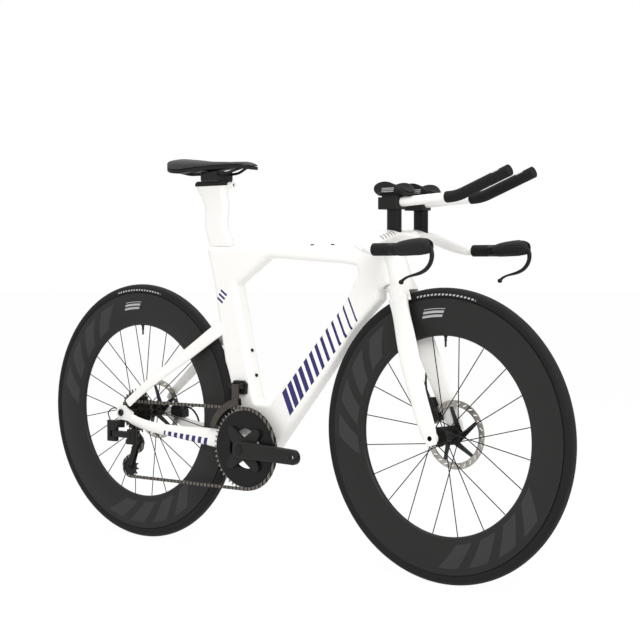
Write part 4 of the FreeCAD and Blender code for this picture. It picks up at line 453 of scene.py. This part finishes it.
def disc_finish(name, axle):
    steel = Finish(name, TRACK_STEEL, 0.3, 1.0)
    radius, _ = steel.polar(axle)
    track = steel.math("GREATER_THAN", radius, TRACK_FROM)
    ground = steel.math("FRACT", steel.math("DIVIDE", radius, GRINDING_PITCH))
    stains = steel.spread(steel.noise(1.0, detail=3.0), -0.02, 0.02)
    steel.set("Base Color", steel.mix(track, SPIDER_BLACK, TRACK_STEEL))
    steel.set("Metallic", steel.spread(track, 0.3, 1.0))
    steel.set("Roughness", steel.math("ADD", steel.spread(ground, 0.24, 0.36), stains))
    return steel


front_disc = disc_finish("disc_steel_front", FRONT_WHEEL)
rear_disc = disc_finish("disc_steel_rear", REAR_WHEEL)
print("discs: steel track outside a radius of", TRACK_FROM)

# %% [markdown]
# ## Drive
# Chainrings are black on their faces, with bare metal where the chain has worn their teeth. Chain,
# sprockets and cage are bare steel or alloy under a patchy film of oil, which noise gives. On the chain a
# darker band repeats at every link: painted shade for the gaps between the link plates.

# %% Chainrings, sprockets and chain
CHAIN_PITCH = 0.0127
# The darker share of each link and its colour are painted shade for the gaps between the link plates.
GAP_SHADE_SPAN, PAINTED_GAP_SHADE = (0.30, 0.70), (0.03, 0.028, 0.025)
WORN_EDGE = (0.2, 0.19, 0.18)


def toothed_finish(name, teeth_from, face, edge):
    """A ring that is one colour on its face and bare metal on its teeth."""
    ring = Finish(name, face, 0.35, 0.6, specular=0.2)
    radius, _ = ring.polar(CRANK)
    bare = ring.math("GREATER_THAN", radius, teeth_from)
    wear = ring.noise(220.0, detail=3.0)
    ring.set("Base Color", ring.mix(bare, face, ring.mix(wear, edge, WORN_EDGE)))
    ring.set("Roughness", ring.spread(wear, 0.26, 0.42))
    ring.set("Metallic", ring.spread(bare, 0.35, 1.0))
    return ring


def steel_finish(name, light, dark, low, high, scale):
    """Bare metal with a patchy film of oil. low, high: its roughness."""
    steel = Finish(name, light, low, 1.0)
    film = steel.noise(scale, detail=4.0)
    steel.set("Base Color", steel.mix(film, light, dark))
    steel.set("Roughness", steel.spread(film, low, high))
    steel.bump(steel.noise(scale * 8), 0.00003, strength=0.25)
    return steel


outer_ring = toothed_finish("ring_black_outer", 0.0965, (0.010, 0.010, 0.0098), (0.26, 0.245, 0.22))
inner_ring = toothed_finish("ring_black_inner", 0.066, (0.012, 0.012, 0.012), (0.20, 0.19, 0.17))
cog_steel = steel_finish("cog_steel", (0.16, 0.148, 0.13), (0.05, 0.046, 0.041), 0.3, 0.45, 90.0)
bearing_steel = steel_finish("bearing_steel", (0.5, 0.49, 0.47), (0.3, 0.3, 0.29), 0.2, 0.35, 120.0)
cage_alloy = steel_finish("cage_alloy", (0.105, 0.095, 0.084), (0.05, 0.045, 0.040), 0.3, 0.45, 70.0)
button_chrome = steel_finish("button_chrome", (0.75, 0.75, 0.76), (0.55, 0.55, 0.56), 0.08, 0.16, 300.0)
chain_steel = steel_finish("chain_steel", (0.24, 0.225, 0.20), (0.10, 0.092, 0.082), 0.28, 0.45, 160.0)
# Painted shade: a darker band at every link, where the gaps between the link plates lie.
along = chain_steel.split(chain_steel.place)[0]
link = chain_steel.math("FRACT", chain_steel.math("DIVIDE", along, CHAIN_PITCH))
painted_gap_shade = chain_steel.between(link, *GAP_SHADE_SPAN)
chain_steel.set("Base Color", chain_steel.mix(painted_gap_shade, chain_steel.colour_so_far(), PAINTED_GAP_SHADE))
print("chain pitch", CHAIN_PITCH, "m, painted gap shade on", round(GAP_SHADE_SPAN[1] - GAP_SHADE_SPAN[0], 2), "of each link")

# %% [markdown]
# ## Black parts
# Anodised alloy, moulded plastic and rubber are all black, and they differ in how they scatter light.
# Alloy is smooth with a soft sheen, plastic has a fine spark-eroded grain, and a hood's rubber is duller.
# One black for all would make them look cut from one block, so each has its own roughness and grain.

# %% Black alloy, plastic and rubber
def black_finish(name, colour, low, high, grain_scale, depth, metallic=0.0):
    """low, high: its roughness. depth: of the grain."""
    black = Finish(name, colour, low, metallic, specular=0.16)
    grain = black.noise(grain_scale, detail=3.0)
    lighter = tuple(1.6 * c for c in colour)
    black.set("Base Color", black.mix(black.noise(14.0), colour, lighter))
    black.set("Roughness", black.spread(grain, low, high))
    black.bump(grain, depth, strength=0.3)
    return black


PLASTIC_BLACK = (0.0095, 0.0095, 0.0093)
black_alloy = black_finish("black_alloy", (0.011, 0.0108, 0.0105), 0.32, 0.44, 700.0, 0.00004, 0.2)
crank_black = black_finish("crank_black", (0.013, 0.0125, 0.012), 0.36, 0.46, 500.0, 0.00004, 0.1)
black_plastic = black_finish("black_plastic", PLASTIC_BLACK, 0.42, 0.56, 1100.0, 0.00012)
spoke_black = black_finish("spoke_black", (0.014, 0.014, 0.0138), 0.32, 0.45, 300.0, 0.00002, 0.2)
hose_black = black_finish("hose_black", (0.009, 0.009, 0.009), 0.4, 0.5, 800.0, 0.00005)
hood_rubber = black_finish("hood_rubber", (0.0105, 0.0105, 0.0103), 0.5, 0.62, 1500.0, 0.0002)
print("blacks", [f.material.name for f in (black_alloy, crank_black, black_plastic, hood_rubber)])

# %% [markdown]
# The grips are rubber with small raised knobs, so that a wet hand holds on. Thousands of modelled knobs
# would be far too many faces, and a cell texture in a bump gives the same sparkle. The base bar's
# grips have a smooth, shiny ring where they end.

# %% Grips
KNOB_SCALE, KNOB_DEPTH = 330.0, 0.0009
KNOB_ROUGHNESS, RING_ROUGHNESS = 0.72, 0.22
BAR_GRIP_RING = (0.482, 0.497)


def rubber_finish(name, ring=None):
    """Moulded rubber with small raised knobs. ring: the lengths in X between which it is smooth."""
    rubber = Finish(name, (0.010, 0.010, 0.010), KNOB_ROUGHNESS, specular=0.15)
    knob = rubber.cells(KNOB_SCALE)
    rubber.set("Base Color", rubber.mix(knob, (0.015, 0.015, 0.0148), (0.006, 0.006, 0.006)))
    if ring:
        shine = rubber.between(rubber.split(rubber.place)[0], *ring)
        rubber.set("Roughness", rubber.spread(shine, KNOB_ROUGHNESS, RING_ROUGHNESS))
        knob = rubber.all_of(knob, rubber.math("SUBTRACT", 1.0, shine))
    rubber.bump(knob, KNOB_DEPTH, strength=0.5)
    return rubber


bar_grip_rubber = rubber_finish("grip_rubber", BAR_GRIP_RING)
sleeve_rubber = rubber_finish("sleeve_rubber")
print("knobs about", round(1000 / KNOB_SCALE, 1), "mm apart")

# %% [markdown]
# The arm rests stand on towers of thin spacers. Each spacer is a few millimetres high, and the seams
# between them are all that shows, so they are dark lines of painted shade with a bump at every step in Z.
# The arm cups are the same plastic with three pale lines on their sides.

# %% Spacers and arm cups
SPACER_HEIGHT, SEAM_SHARE, SEAM_DEPTH = 0.0043, 0.16, 0.0005
CUP_MARK, CUP_GREY = (0.386, 0.0, 0.8985), (0.5, 0.5, 0.5)
CUP_LINE_PITCH, CUP_LINE_SHARE = 0.0036, 0.5
CUP_PRINT_ALONG, CUP_PRINT_HEIGHT = (-0.017, 0.017), (-0.0036, 0.0072)


def riser_finish():
    plastic = Finish("riser_plastic", PLASTIC_BLACK, 0.45, specular=0.14)
    _, _, z = plastic.split(plastic.place)
    # Painted shade: the seams between the spacers are darker, for the shade in their grooves.
    seam = plastic.bars(z, SPACER_HEIGHT, SEAM_SHARE)
    plastic.set("Base Color", plastic.mix(seam, (0.0105, 0.0105, 0.0103), (0.004, 0.004, 0.004)))
    plastic.set("Roughness", plastic.spread(plastic.noise(900.0), 0.42, 0.55))
    plastic.bump(plastic.math("SUBTRACT", 1.0, seam), SEAM_DEPTH, strength=0.6)
    return plastic


def cup_lines(plastic):
    along, _, height = plastic.split(plastic.moved(CUP_MARK))
    return plastic.all_of(
        plastic.bars(height, CUP_LINE_PITCH, CUP_LINE_SHARE),
        plastic.between(plastic.math("SUBTRACT", along, height), *CUP_PRINT_ALONG),
        plastic.between(height, *CUP_PRINT_HEIGHT))


riser_plastic = riser_finish()
cup_plastic = black_finish("cup_plastic", PLASTIC_BLACK, 0.42, 0.56, 1100.0, 0.00012)
printed(cup_plastic, cup_lines(cup_plastic), CUP_GREY)

# %% [markdown]
# Each solid gets one finish. A table of finishes with the names of their solids is easier to check
# against the photograph than a line for every solid. The saddle cover and the arm pads aren't in it,
# because padded pieces take their place further down.

# %% Give each solid its finish
FINISHES = {
    plain_white: "fork seatpost extensions seatstays",
    striped_white: "main_frame",
    bar_white: "base_bar",
    marked_white: "chainstays",
    front_carbon: "front_rim",
    rear_carbon: "rear_rim",
    front_rubber: "front_tyre",
    rear_rubber: "rear_tyre",
    front_disc: "front_rotor",
    rear_disc: "rear_rotor",
    spoke_black: "front_spokes rear_spokes",
    black_alloy: "front_hub rear_hub front_axle rear_axle front_caliper rear_caliper derailleur_hanger "
                 "rd_body rd_link rd_knuckle front_derailleur_body saddle_clamp saddle_rails "
                 "extension_clamps brake_lever_left brake_lever_right boss_inserts",
    crank_black: "crank_right crank_left",
    outer_ring: "outer_chainring",
    inner_ring: "inner_chainring",
    chain_steel: "chain",
    cog_steel: "cassette",
    bearing_steel: "headset_bearings crank_bearings",
    cage_alloy: "front_derailleur_cage",
    black_plastic: "rd_cage guide_pulley tension_pulley saddle_shell",
    cup_plastic: "arm_cups",
    riser_plastic: "riser_spacers",
    bar_grip_rubber: "bar_grips",
    sleeve_rubber: "extension_grips",
    hood_rubber: "lever_body_left lever_body_right",
    hose_black: "front_brake_hose rear_brake_hose derailleur_wire",
    button_chrome: "shift_button_left shift_button_right",
}
for finish, names in FINISHES.items():
    for name in names.split():
        NODES[name].data.materials.clear()
        NODES[name].data.materials.append(finish.material)
print("finished", sum(len(names.split()) for names in FINISHES.values()), "solids of", len(NODES))

# %% [markdown]
# ## Chain
# The chain has to follow the derailleur when its link or its cage swings. A curve with a link on every
# step of it would need a driver. Here the chain's solid is copied in five lengths: one on the rings and
# the cassette, one down to the guide pulley, one through the cage, and the back and the front of the
# lower run. A face belongs to the length whose pulley or run its middle is close to.

# %% Lengths of chain
GUIDE, TENSION = centre_of("guide_pulley"), centre_of("tension_pulley")
COG_REACH, GUIDE_REACH, TENSION_REACH, RING_REACH = 0.0365, 0.0285, 0.033, 0.1075
LOWER_SPLIT, LOWER_RUN_TOP = TENSION.x + 0.10, TENSION.z + 0.02
GUIDE_RUN_HALF = 0.07


def flat(a, b):
    """The distance between two points seen from the side."""
    return math.hypot(a.x - b.x, a.z - b.z)


def length_at(place):
    """Which length of chain a place belongs to."""
    cage = TENSION - GUIDE
    share = max(0.0, min(1.0, (place - GUIDE).dot(cage) / cage.length_squared))
    reach = GUIDE_REACH + share * (TENSION_REACH - GUIDE_REACH)
    if flat(place, REAR_WHEEL) < COG_REACH:
        return "drive"
    if flat(place, GUIDE + share * cage) < reach:
        return "cage"
    if place.z < LOWER_RUN_TOP and place.x < CRANK.x and flat(place, CRANK) > RING_REACH:
        return "lower_back" if place.x < LOWER_SPLIT else "lower_front"
    if place.z < REAR_WHEEL.z and abs(place.x - REAR_WHEEL.x) < GUIDE_RUN_HALF:
        return "guide"
    return "drive"


def length_of_chain(part):
    """A copy of the chain with the faces of one length."""
    form = bmesh.new()
    form.from_mesh(NODES["chain"].data)
    others = [face for face in form.faces if length_at(face.calc_center_median()) != part]
    bmesh.ops.delete(form, geom=others, context="FACES")
    piece = piece_from("chain_" + part, form, chain_steel)
    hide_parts("chain")
    print(piece.name, "faces", len(piece.data.polygons))
    return piece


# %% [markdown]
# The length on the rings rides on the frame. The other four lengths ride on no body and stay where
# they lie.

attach(length_of_chain("drive"), "frame")
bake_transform(length_of_chain("guide"))
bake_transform(length_of_chain("cage"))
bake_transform(length_of_chain("lower_back"))
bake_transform(length_of_chain("lower_front"))

# %% [markdown]
# ## Padding
# The saddle cover and the arm pads are foam under a thin skin. Bevelled edges alone would look machined.
# Each pad starts as a copy of its solid, drawn in a little and remeshed into even cells, and is then
# blown up by Cloth with a little pressure, so that its edges round off as stretched skin does. The result
# is applied, and no point may move further than a cap.

# %% Blow up a pad
MERGE_DISTANCE = 1e-5
CLOTH_FRAMES = 20


def apply_modifiers(piece):
    """Replaces a piece's mesh by what its modifiers make of it."""
    graph = bpy.context.evaluated_depsgraph_get()
    made = bpy.data.meshes.new_from_object(piece.evaluated_get(graph))
    piece.modifiers.clear()
    piece.data = made


def pad_copy(name, node, drawn_in, voxel):
    """An evenly meshed copy of a solid, drawn in along its normals."""
    form = bmesh.new()
    form.from_mesh(NODES[node].data)
    bmesh.ops.remove_doubles(form, verts=form.verts, dist=MERGE_DISTANCE)
    pad = piece_from(name, form)
    remesh = pad.modifiers.new("even_cells", "REMESH")
    remesh.mode = "VOXEL"
    remesh.voxel_size = voxel
    apply_modifiers(pad)
    for vertex, normal in [(v, v.normal.copy()) for v in pad.data.vertices]:
        vertex.co -= normal * drawn_in
    print(name, "vertices", len(pad.data.vertices))
    return pad


def inflate(pad, pressure, cap):
    """Cloth under pressure for a few frames, with a cap on how far a point may go."""
    start = [v.co.copy() for v in pad.data.vertices]
    cloth = pad.modifiers.new("skin", "CLOTH")
    cloth.settings.use_pressure = True
    cloth.settings.uniform_pressure_force = pressure
    cloth.settings.effector_weights.gravity = 0
    for number in range(1, CLOTH_FRAMES + 1):
        scene.frame_set(number)
    apply_modifiers(pad)
    scene.frame_set(1)
    furthest = 0.0
    for vertex, rest in zip(pad.data.vertices, start):
        move = vertex.co - rest
        if move.length > cap:
            vertex.co = rest + move * (cap / move.length)
        furthest = max(furthest, (vertex.co - rest).length)
    print(pad.name, "moved up to", round(furthest * 1000, 2), "mm")


def smooth(pad, rounds):
    """Evens out what the remesh and the cloth left rough."""
    form = bmesh.new()
    form.from_mesh(pad.data)
    for _ in range(rounds):
        bmesh.ops.smooth_vert(
            form, verts=form.verts, factor=0.5, use_axis_x=True, use_axis_y=True, use_axis_z=True)
    form.to_mesh(pad.data)
    form.free()


def soften(pad):
    """Smooth shading and one subdivision."""
    for face in pad.data.polygons:
        face.use_smooth = True
    finer = pad.modifiers.new("finer", "SUBSURF")
    finer.levels = finer.render_levels = 1


# %% [markdown]
# The saddle's cover is a grained synthetic skin with a shallow channel down its middle. The channel could
# be cut into the solid, but then the skin would have a hard edge there. It is sunk into the finished pad
# instead, by moving points down by a bell curve across the saddle that fades out at both ends.

# %% Saddle cover
CHANNEL_DEPTH, CHANNEL_HALF = 0.0035, 0.009
CHANNEL_FRONT, CHANNEL_BACK = 0.12, 0.97
FRONT_FADE, BACK_FADE = 6, 8


def saddle_skin():
    skin = Finish("saddle_skin", (0.030, 0.029, 0.029), 0.55, specular=0.35)
    grain = skin.cells(900.0)
    cloud = skin.noise(40.0, detail=3.0)
    skin.set("Base Color", skin.mix(cloud, (0.026, 0.0255, 0.025), (0.038, 0.037, 0.0365)))
    skin.set("Roughness", skin.spread(grain, 0.5, 0.66))
    skin.bump(grain, 0.00025, strength=0.35)
    return skin


saddle_low, saddle_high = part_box("saddle_cover")
saddle = pad_copy("saddle_padding", "saddle_cover", drawn_in=0.0012, voxel=0.0035)
inflate(saddle, pressure=2.0, cap=0.0012)
smooth(saddle, 3)
for vertex in saddle.data.vertices:
    share = (saddle_high.x - vertex.co.x) / (saddle_high.x - saddle_low.x)
    fade = max(0.0, min(1.0, (share - CHANNEL_FRONT) * FRONT_FADE, (CHANNEL_BACK - share) * BACK_FADE))
    top_side = max(0.0, vertex.normal.z)
    vertex.co.z -= CHANNEL_DEPTH * fade * top_side * math.exp(-((vertex.co.y / CHANNEL_HALF) ** 2))
soften(saddle)
saddle.data.materials.append(saddle_skin().material)
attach(saddle, "seat")
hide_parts("saddle_cover")

# %% [markdown]
# The arm pads are foam under a plain woven cloth. The weave is far finer than the mesh, so it is the
# product of two sine waves in a bump. The pads go the same way as the saddle, with smaller cells, because
# they are thin.

# %% Arm pads
WEAVE_PER_METRE = 1500


def pad_cloth():
    cloth = Finish("pad_cloth", (0.011, 0.011, 0.011), 0.85, specular=0.2)
    x, y, _ = cloth.split(cloth.moved(scale=(WEAVE_PER_METRE,) * 3))
    weave = cloth.all_of(cloth.math("SINE", x), cloth.math("SINE", y))
    cloud = cloth.noise(60.0, detail=3.0)
    cloth.set("Base Color", cloth.mix(cloud, (0.010, 0.010, 0.0098), (0.016, 0.016, 0.0157)))
    cloth.bump(cloth.spread(weave, 0.0, 1.0), 0.0002, strength=0.4)
    return cloth


arm_padding = pad_copy("arm_padding", "arm_pads", drawn_in=0.0010, voxel=0.0026)
inflate(arm_padding, pressure=3.0, cap=0.0011)
smooth(arm_padding, 2)
soften(arm_padding)
arm_padding.data.materials.append(pad_cloth().material)
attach(arm_padding, "steering")
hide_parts("arm_pads")

# %% [markdown]
# ## Small turned parts
# Screws, caps and valves are all turned shapes. Cylinders and cones could be stacked, with seams between
# them. One profile of radius and height, spun about its own axis by bmesh, has none. Each is then set on
# the face that carries it, and pieces of one body share a mesh.

# %% Spin a profile
RIGHT, LEFT, UP = Vector((0, -1, 0)), Vector((0, 1, 0)), Vector((0, 0, 1))
SPIN_MERGE = 1e-6


def set_of_turned(name, body, turns, steps=20):
    """One piece made of several turned parts, given as (profile, foot, way out)."""
    mesh = bpy.data.meshes.new(name)
    whole = bmesh.new()
    for profile, foot, way in turns:
        form = bmesh.new()
        verts = [form.verts.new((radius, 0, height)) for radius, height in profile]
        edges = [form.edges.new(pair) for pair in zip(verts, verts[1:])]
        bmesh.ops.spin(form, geom=verts + edges, cent=(0, 0, 0), axis=(0, 0, 1), angle=2 * math.pi,
                       steps=steps, use_merge=True)
        bmesh.ops.remove_doubles(form, verts=form.verts, dist=SPIN_MERGE)
        bmesh.ops.recalc_face_normals(form, faces=form.faces)
        turn = Vector(way).to_track_quat("Z", "Y").to_matrix().to_4x4()
        bmesh.ops.transform(form, matrix=Matrix.Translation(foot) @ turn, verts=form.verts)
        form.to_mesh(mesh)
        form.free()
        whole.from_mesh(mesh)
    whole.to_mesh(mesh)
    whole.free()
    mesh.materials.append(black_alloy.material)
    piece = add_object(name, mesh)
    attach(piece, body)
    print(name, "turned parts", len(turns), "faces", len(mesh.polygons))


def on_side(node, way, centre):
    """A point on the right or left face of a solid's box, in line with a centre."""
    low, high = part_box(node)
    return Vector((centre.x, low.y if way == RIGHT else high.y, centre.z))


# %% [markdown]
# The bosses for bottles and bags hold a round-headed screw each, with a socket for a key in its head. Its
# foot and its way out repeat those of the threaded inserts in the top, down and seat tubes.

# %% Boss screws
SCREW = [(0, 0.0012), (0.0017, 0.0012), (0.0018, 0.0027), (0.0034, 0.0027), (0.0042, 0.0019),
         (0.0042, -0.0006)]
DOWN_TUBE_OUT, SEAT_TUBE_OUT = (-0.7408, 0, 0.6717), (0.9746, 0, 0.2239)
BOSSES = [
    ((0.0980, 0, 0.7770), UP), ((0.1620, 0, 0.7770), UP),
    ((0.0512, 0, 0.4673), DOWN_TUBE_OUT), ((0.0942, 0, 0.5147), DOWN_TUBE_OUT),
    ((-0.0987, 0, 0.5145), SEAT_TUBE_OUT), ((-0.0844, 0, 0.4521), SEAT_TUBE_OUT),
]
set_of_turned("boss_screws", "frame", [(SCREW, Vector(foot), way) for foot, way in BOSSES])

# %% [markdown]
# Caps close the ends of the crank spindle, and a plug closes the rear axle. The seat post is clamped by a
# bolt in the nose of its top, the derailleur's pulleys turn on screws, and each brake lever turns on a
# pin through its hood. All of them sit on a face of a solid's box, so their places follow the solids.

# %% Caps, bolts and pins
CAP = [(0, 0.0006), (0.0035, 0.0006), (0.0042, 0.0013), (0.0100, 0.0013), (0.0112, 0.0022),
       (0.0126, 0.0016), (0.0130, -0.0005)]
PLUG = [(0, 0.0006), (0.0030, 0.0006), (0.0034, 0.0026), (0.0078, 0.0026), (0.0092, 0.0014),
        (0.0092, -0.0006)]
BOLT = [(0, 0.0022), (0.0019, 0.0022), (0.0020, 0.0052), (0.0032, 0.0052), (0.0037, 0.0046),
        (0.0037, 0.0002)]
PIN = [(0, 0.0008), (0.0019, 0.0008), (0.0030, 0.0003), (0.0030, -0.0012)]
NOSE_RADIUS, SOCKET_BEHIND_CRANK = 0.0085, 0.088
LEVER_PIVOT, PIN_SUNK = Vector((0.5772, 0, 0.7699)), 0.0012

set_of_turned("crank_caps", "cranks", [
    (CAP, on_side("crank_right", RIGHT, CRANK), RIGHT), (CAP, on_side("crank_left", LEFT, CRANK), LEFT)], 32)
set_of_turned("rear_axle_plug", "frame", [(PLUG, on_side("rear_axle", RIGHT, REAR_WHEEL), RIGHT)], 28)
nose_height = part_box("seatpost")[1].z - NOSE_RADIUS
set_of_turned("post_bolt", "seat", [
    (BOLT, Vector((CRANK.x - SOCKET_BEHIND_CRANK, 0, nose_height)), (1, 0, 0))], 24)
set_of_turned("cage_screws", "rd_cage", [
    (SCREW, on_side("rd_cage", RIGHT, pulley), RIGHT) for pulley in (GUIDE, TENSION)])
set_of_turned("lever_pins", "steering", [
    (PIN, on_side(hood, way, LEVER_PIVOT) - way * PIN_SUNK, way)
    for hood in ("lever_body_left", "lever_body_right") for way in (RIGHT, LEFT)])

# %% [markdown]
# A valve stands on the inside of each deep rim, under the rim's small label and midway between two
# spokes. Its angle could be typed in, but it would miss the gap if the spokes changed. The spokes' own
# points tell where the gap is.

# %% Valves
VALVE = [(0.0052, -0.0016), (0.0050, 0.0004), (0.0032, 0.0034), (0.0031, 0.0125), (0.0024, 0.0130),
         (0.0024, 0.0250), (0, 0.0256)]
SPOKE_END = 0.004


def rim_edge(node, axle):
    """The smallest radius of a rim."""
    return min(flat(vertex.co, axle) for vertex in NODES[node].data.vertices)


def gap_near(node, axle, radius, wanted):
    """The angle midway between the two spokes either side of a wanted angle, at a radius."""
    angles = set()
    for vertex in NODES[node].data.vertices:
        if flat(vertex.co, axle) > radius:
            angles.add(round(math.atan2(vertex.co.z - axle.z, vertex.co.x - axle.x), 3))
    before = max(a for a in angles if a <= wanted)
    after = min(a for a in angles if a > wanted)
    return (before + after) / 2


for wheel, axle, wanted in (("front", FRONT_WHEEL, 1.60), ("rear", REAR_WHEEL, 1.50)):
    edge = rim_edge(wheel + "_rim", axle)
    angle = gap_near(wheel + "_spokes", axle, edge - SPOKE_END, wanted)
    inward = Vector((-math.cos(angle), 0, -math.sin(angle)))
    foot = Vector((axle.x, 0, axle.z)) - inward * edge
    set_of_turned(wheel + "_valve", wheel + "_wheel", [(VALVE, foot, inward)], 16)
    print(wheel, "rim edge", round(edge, 4), "valve at", round(math.degrees(angle), 1), "degrees")

# %% [markdown]
# Two rubber plugs close the cable ports on top of the stem. The stem's top is curved, so a ray cast from
# above finds the surface and its slope under each, and a flattened ball is set into it.

# %% Stem plugs
ABOVE_THE_BIKE = 1.2


def stem_plug(name, x, length, width, rise):
    above, down = Vector((x, 0, ABOVE_THE_BIKE)), Vector((0, 0, -1))
    hit, spot, normal, _ = NODES["base_bar"].ray_cast(above, down)
    form = bmesh.new()
    bmesh.ops.create_uvsphere(form, u_segments=24, v_segments=12, radius=1.0)
    turn = normal.to_track_quat("Z", "Y").to_matrix().to_4x4()
    size = Matrix.Diagonal((width / 2, length / 2, rise, 1))
    bmesh.ops.transform(form, matrix=Matrix.Translation(spot) @ turn @ size, verts=form.verts)
    for face in form.faces:
        face.smooth = True
    plug = piece_from(name, form, hood_rubber)
    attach(plug, "steering")
    print(name, "on the stem", hit, [round(c, 4) for c in spot])


stem_plug("stem_plug_front", x=0.309, length=0.018, width=0.010, rise=0.0022)
stem_plug("stem_plug_back", x=0.268, length=0.010, width=0.007, rise=0.0016)

# %% [markdown]
# ## Floor and light
# The bicycle stands on a pale floor in front of a white wall. A real white sweep would need so much light
# that the paint burns out. Instead, camera rays, reflections and glass see the floor and the world as
# white, while the light on the bicycle stays at a plain level. The floor keeps a share of its own
# shading, which is where the soft shadows under the tyres show.

# %% Floor
FLOOR_RADIUS, FLOOR_GREY = 40.0, (0.86, 0.86, 0.86, 1)
FLOOR_GLOW, GLOW_SHARE = 1.02, 0.93


def white_for_eyes(nodes, links):
    """1 for rays that see a surface directly, in a mirror or through glass."""
    path = nodes.new("ShaderNodeLightPath")
    seen = path.outputs["Is Camera Ray"]
    for ray in ("Is Glossy Ray", "Is Transmission Ray"):
        either = nodes.new("ShaderNodeMath")
        either.operation = "MAXIMUM"
        links.new(seen, either.inputs[0])
        links.new(path.outputs[ray], either.inputs[1])
        seen = either.outputs[0]
    return seen


disc = bmesh.new()
bmesh.ops.create_circle(disc, cap_ends=True, radius=FLOOR_RADIUS, segments=96)
floor = piece_from("floor", disc)
floor_paper = bpy.data.materials.new("floor_paper")
floor_paper.use_nodes = True
nodes, links = floor_paper.node_tree.nodes, floor_paper.node_tree.links
paper = nodes["Principled BSDF"]
paper.inputs["Base Color"].default_value = FLOOR_GREY
paper.inputs["Roughness"].default_value = 0.9
glow = nodes.new("ShaderNodeEmission")
glow.inputs["Strength"].default_value = FLOOR_GLOW
share = nodes.new("ShaderNodeMath")
share.operation = "MULTIPLY"
share.inputs[1].default_value = GLOW_SHARE
links.new(white_for_eyes(nodes, links), share.inputs[0])
blend = nodes.new("ShaderNodeMixShader")
links.new(share.outputs[0], blend.inputs[0])
links.new(paper.outputs[0], blend.inputs[1])
links.new(glow.outputs[0], blend.inputs[2])
links.new(blend.outputs[0], nodes["Material Output"].inputs["Surface"])
floor.data.materials.append(floor_paper)
print("floor, radius", FLOOR_RADIUS, "m")

# %% [markdown]
# The studio's light is soft and comes from all round, with a large lamp ahead of the bicycle on its right
# and another overhead. Small lamps would draw hard shadows, which the photograph doesn't have.

# %% World and lamps
SOFT_LIGHT, SEEN_WHITE = 0.62, 1.0
LAMP_TARGET = (0, 0, 0.5)
world = bpy.data.worlds.new("studio")
scene.world = world
world.use_nodes = True
nodes, links = world.node_tree.nodes, world.node_tree.links
strength = nodes.new("ShaderNodeMapRange")
strength.inputs["To Min"].default_value = SOFT_LIGHT
strength.inputs["To Max"].default_value = SEEN_WHITE
links.new(white_for_eyes(nodes, links), strength.inputs["Value"])
nodes["Background"].inputs["Color"].default_value = (1, 1, 1, 1)
links.new(strength.outputs["Result"], nodes["Background"].inputs["Strength"])


def soft_lamp(name, place, size, watts):
    lamp = add_object(name, bpy.data.lights.new(name, "AREA"))
    lamp.data.shape = "DISK"
    lamp.data.size = size
    lamp.data.energy = watts
    aim(lamp, place, LAMP_TARGET)
    print("lamp", name, watts, "W")


soft_lamp("key", (2.9, -2.9, 2.7), size=2.4, watts=106)
soft_lamp("top", (-0.4, -0.2, 4.2), size=3.0, watts=66)

# %% [markdown]
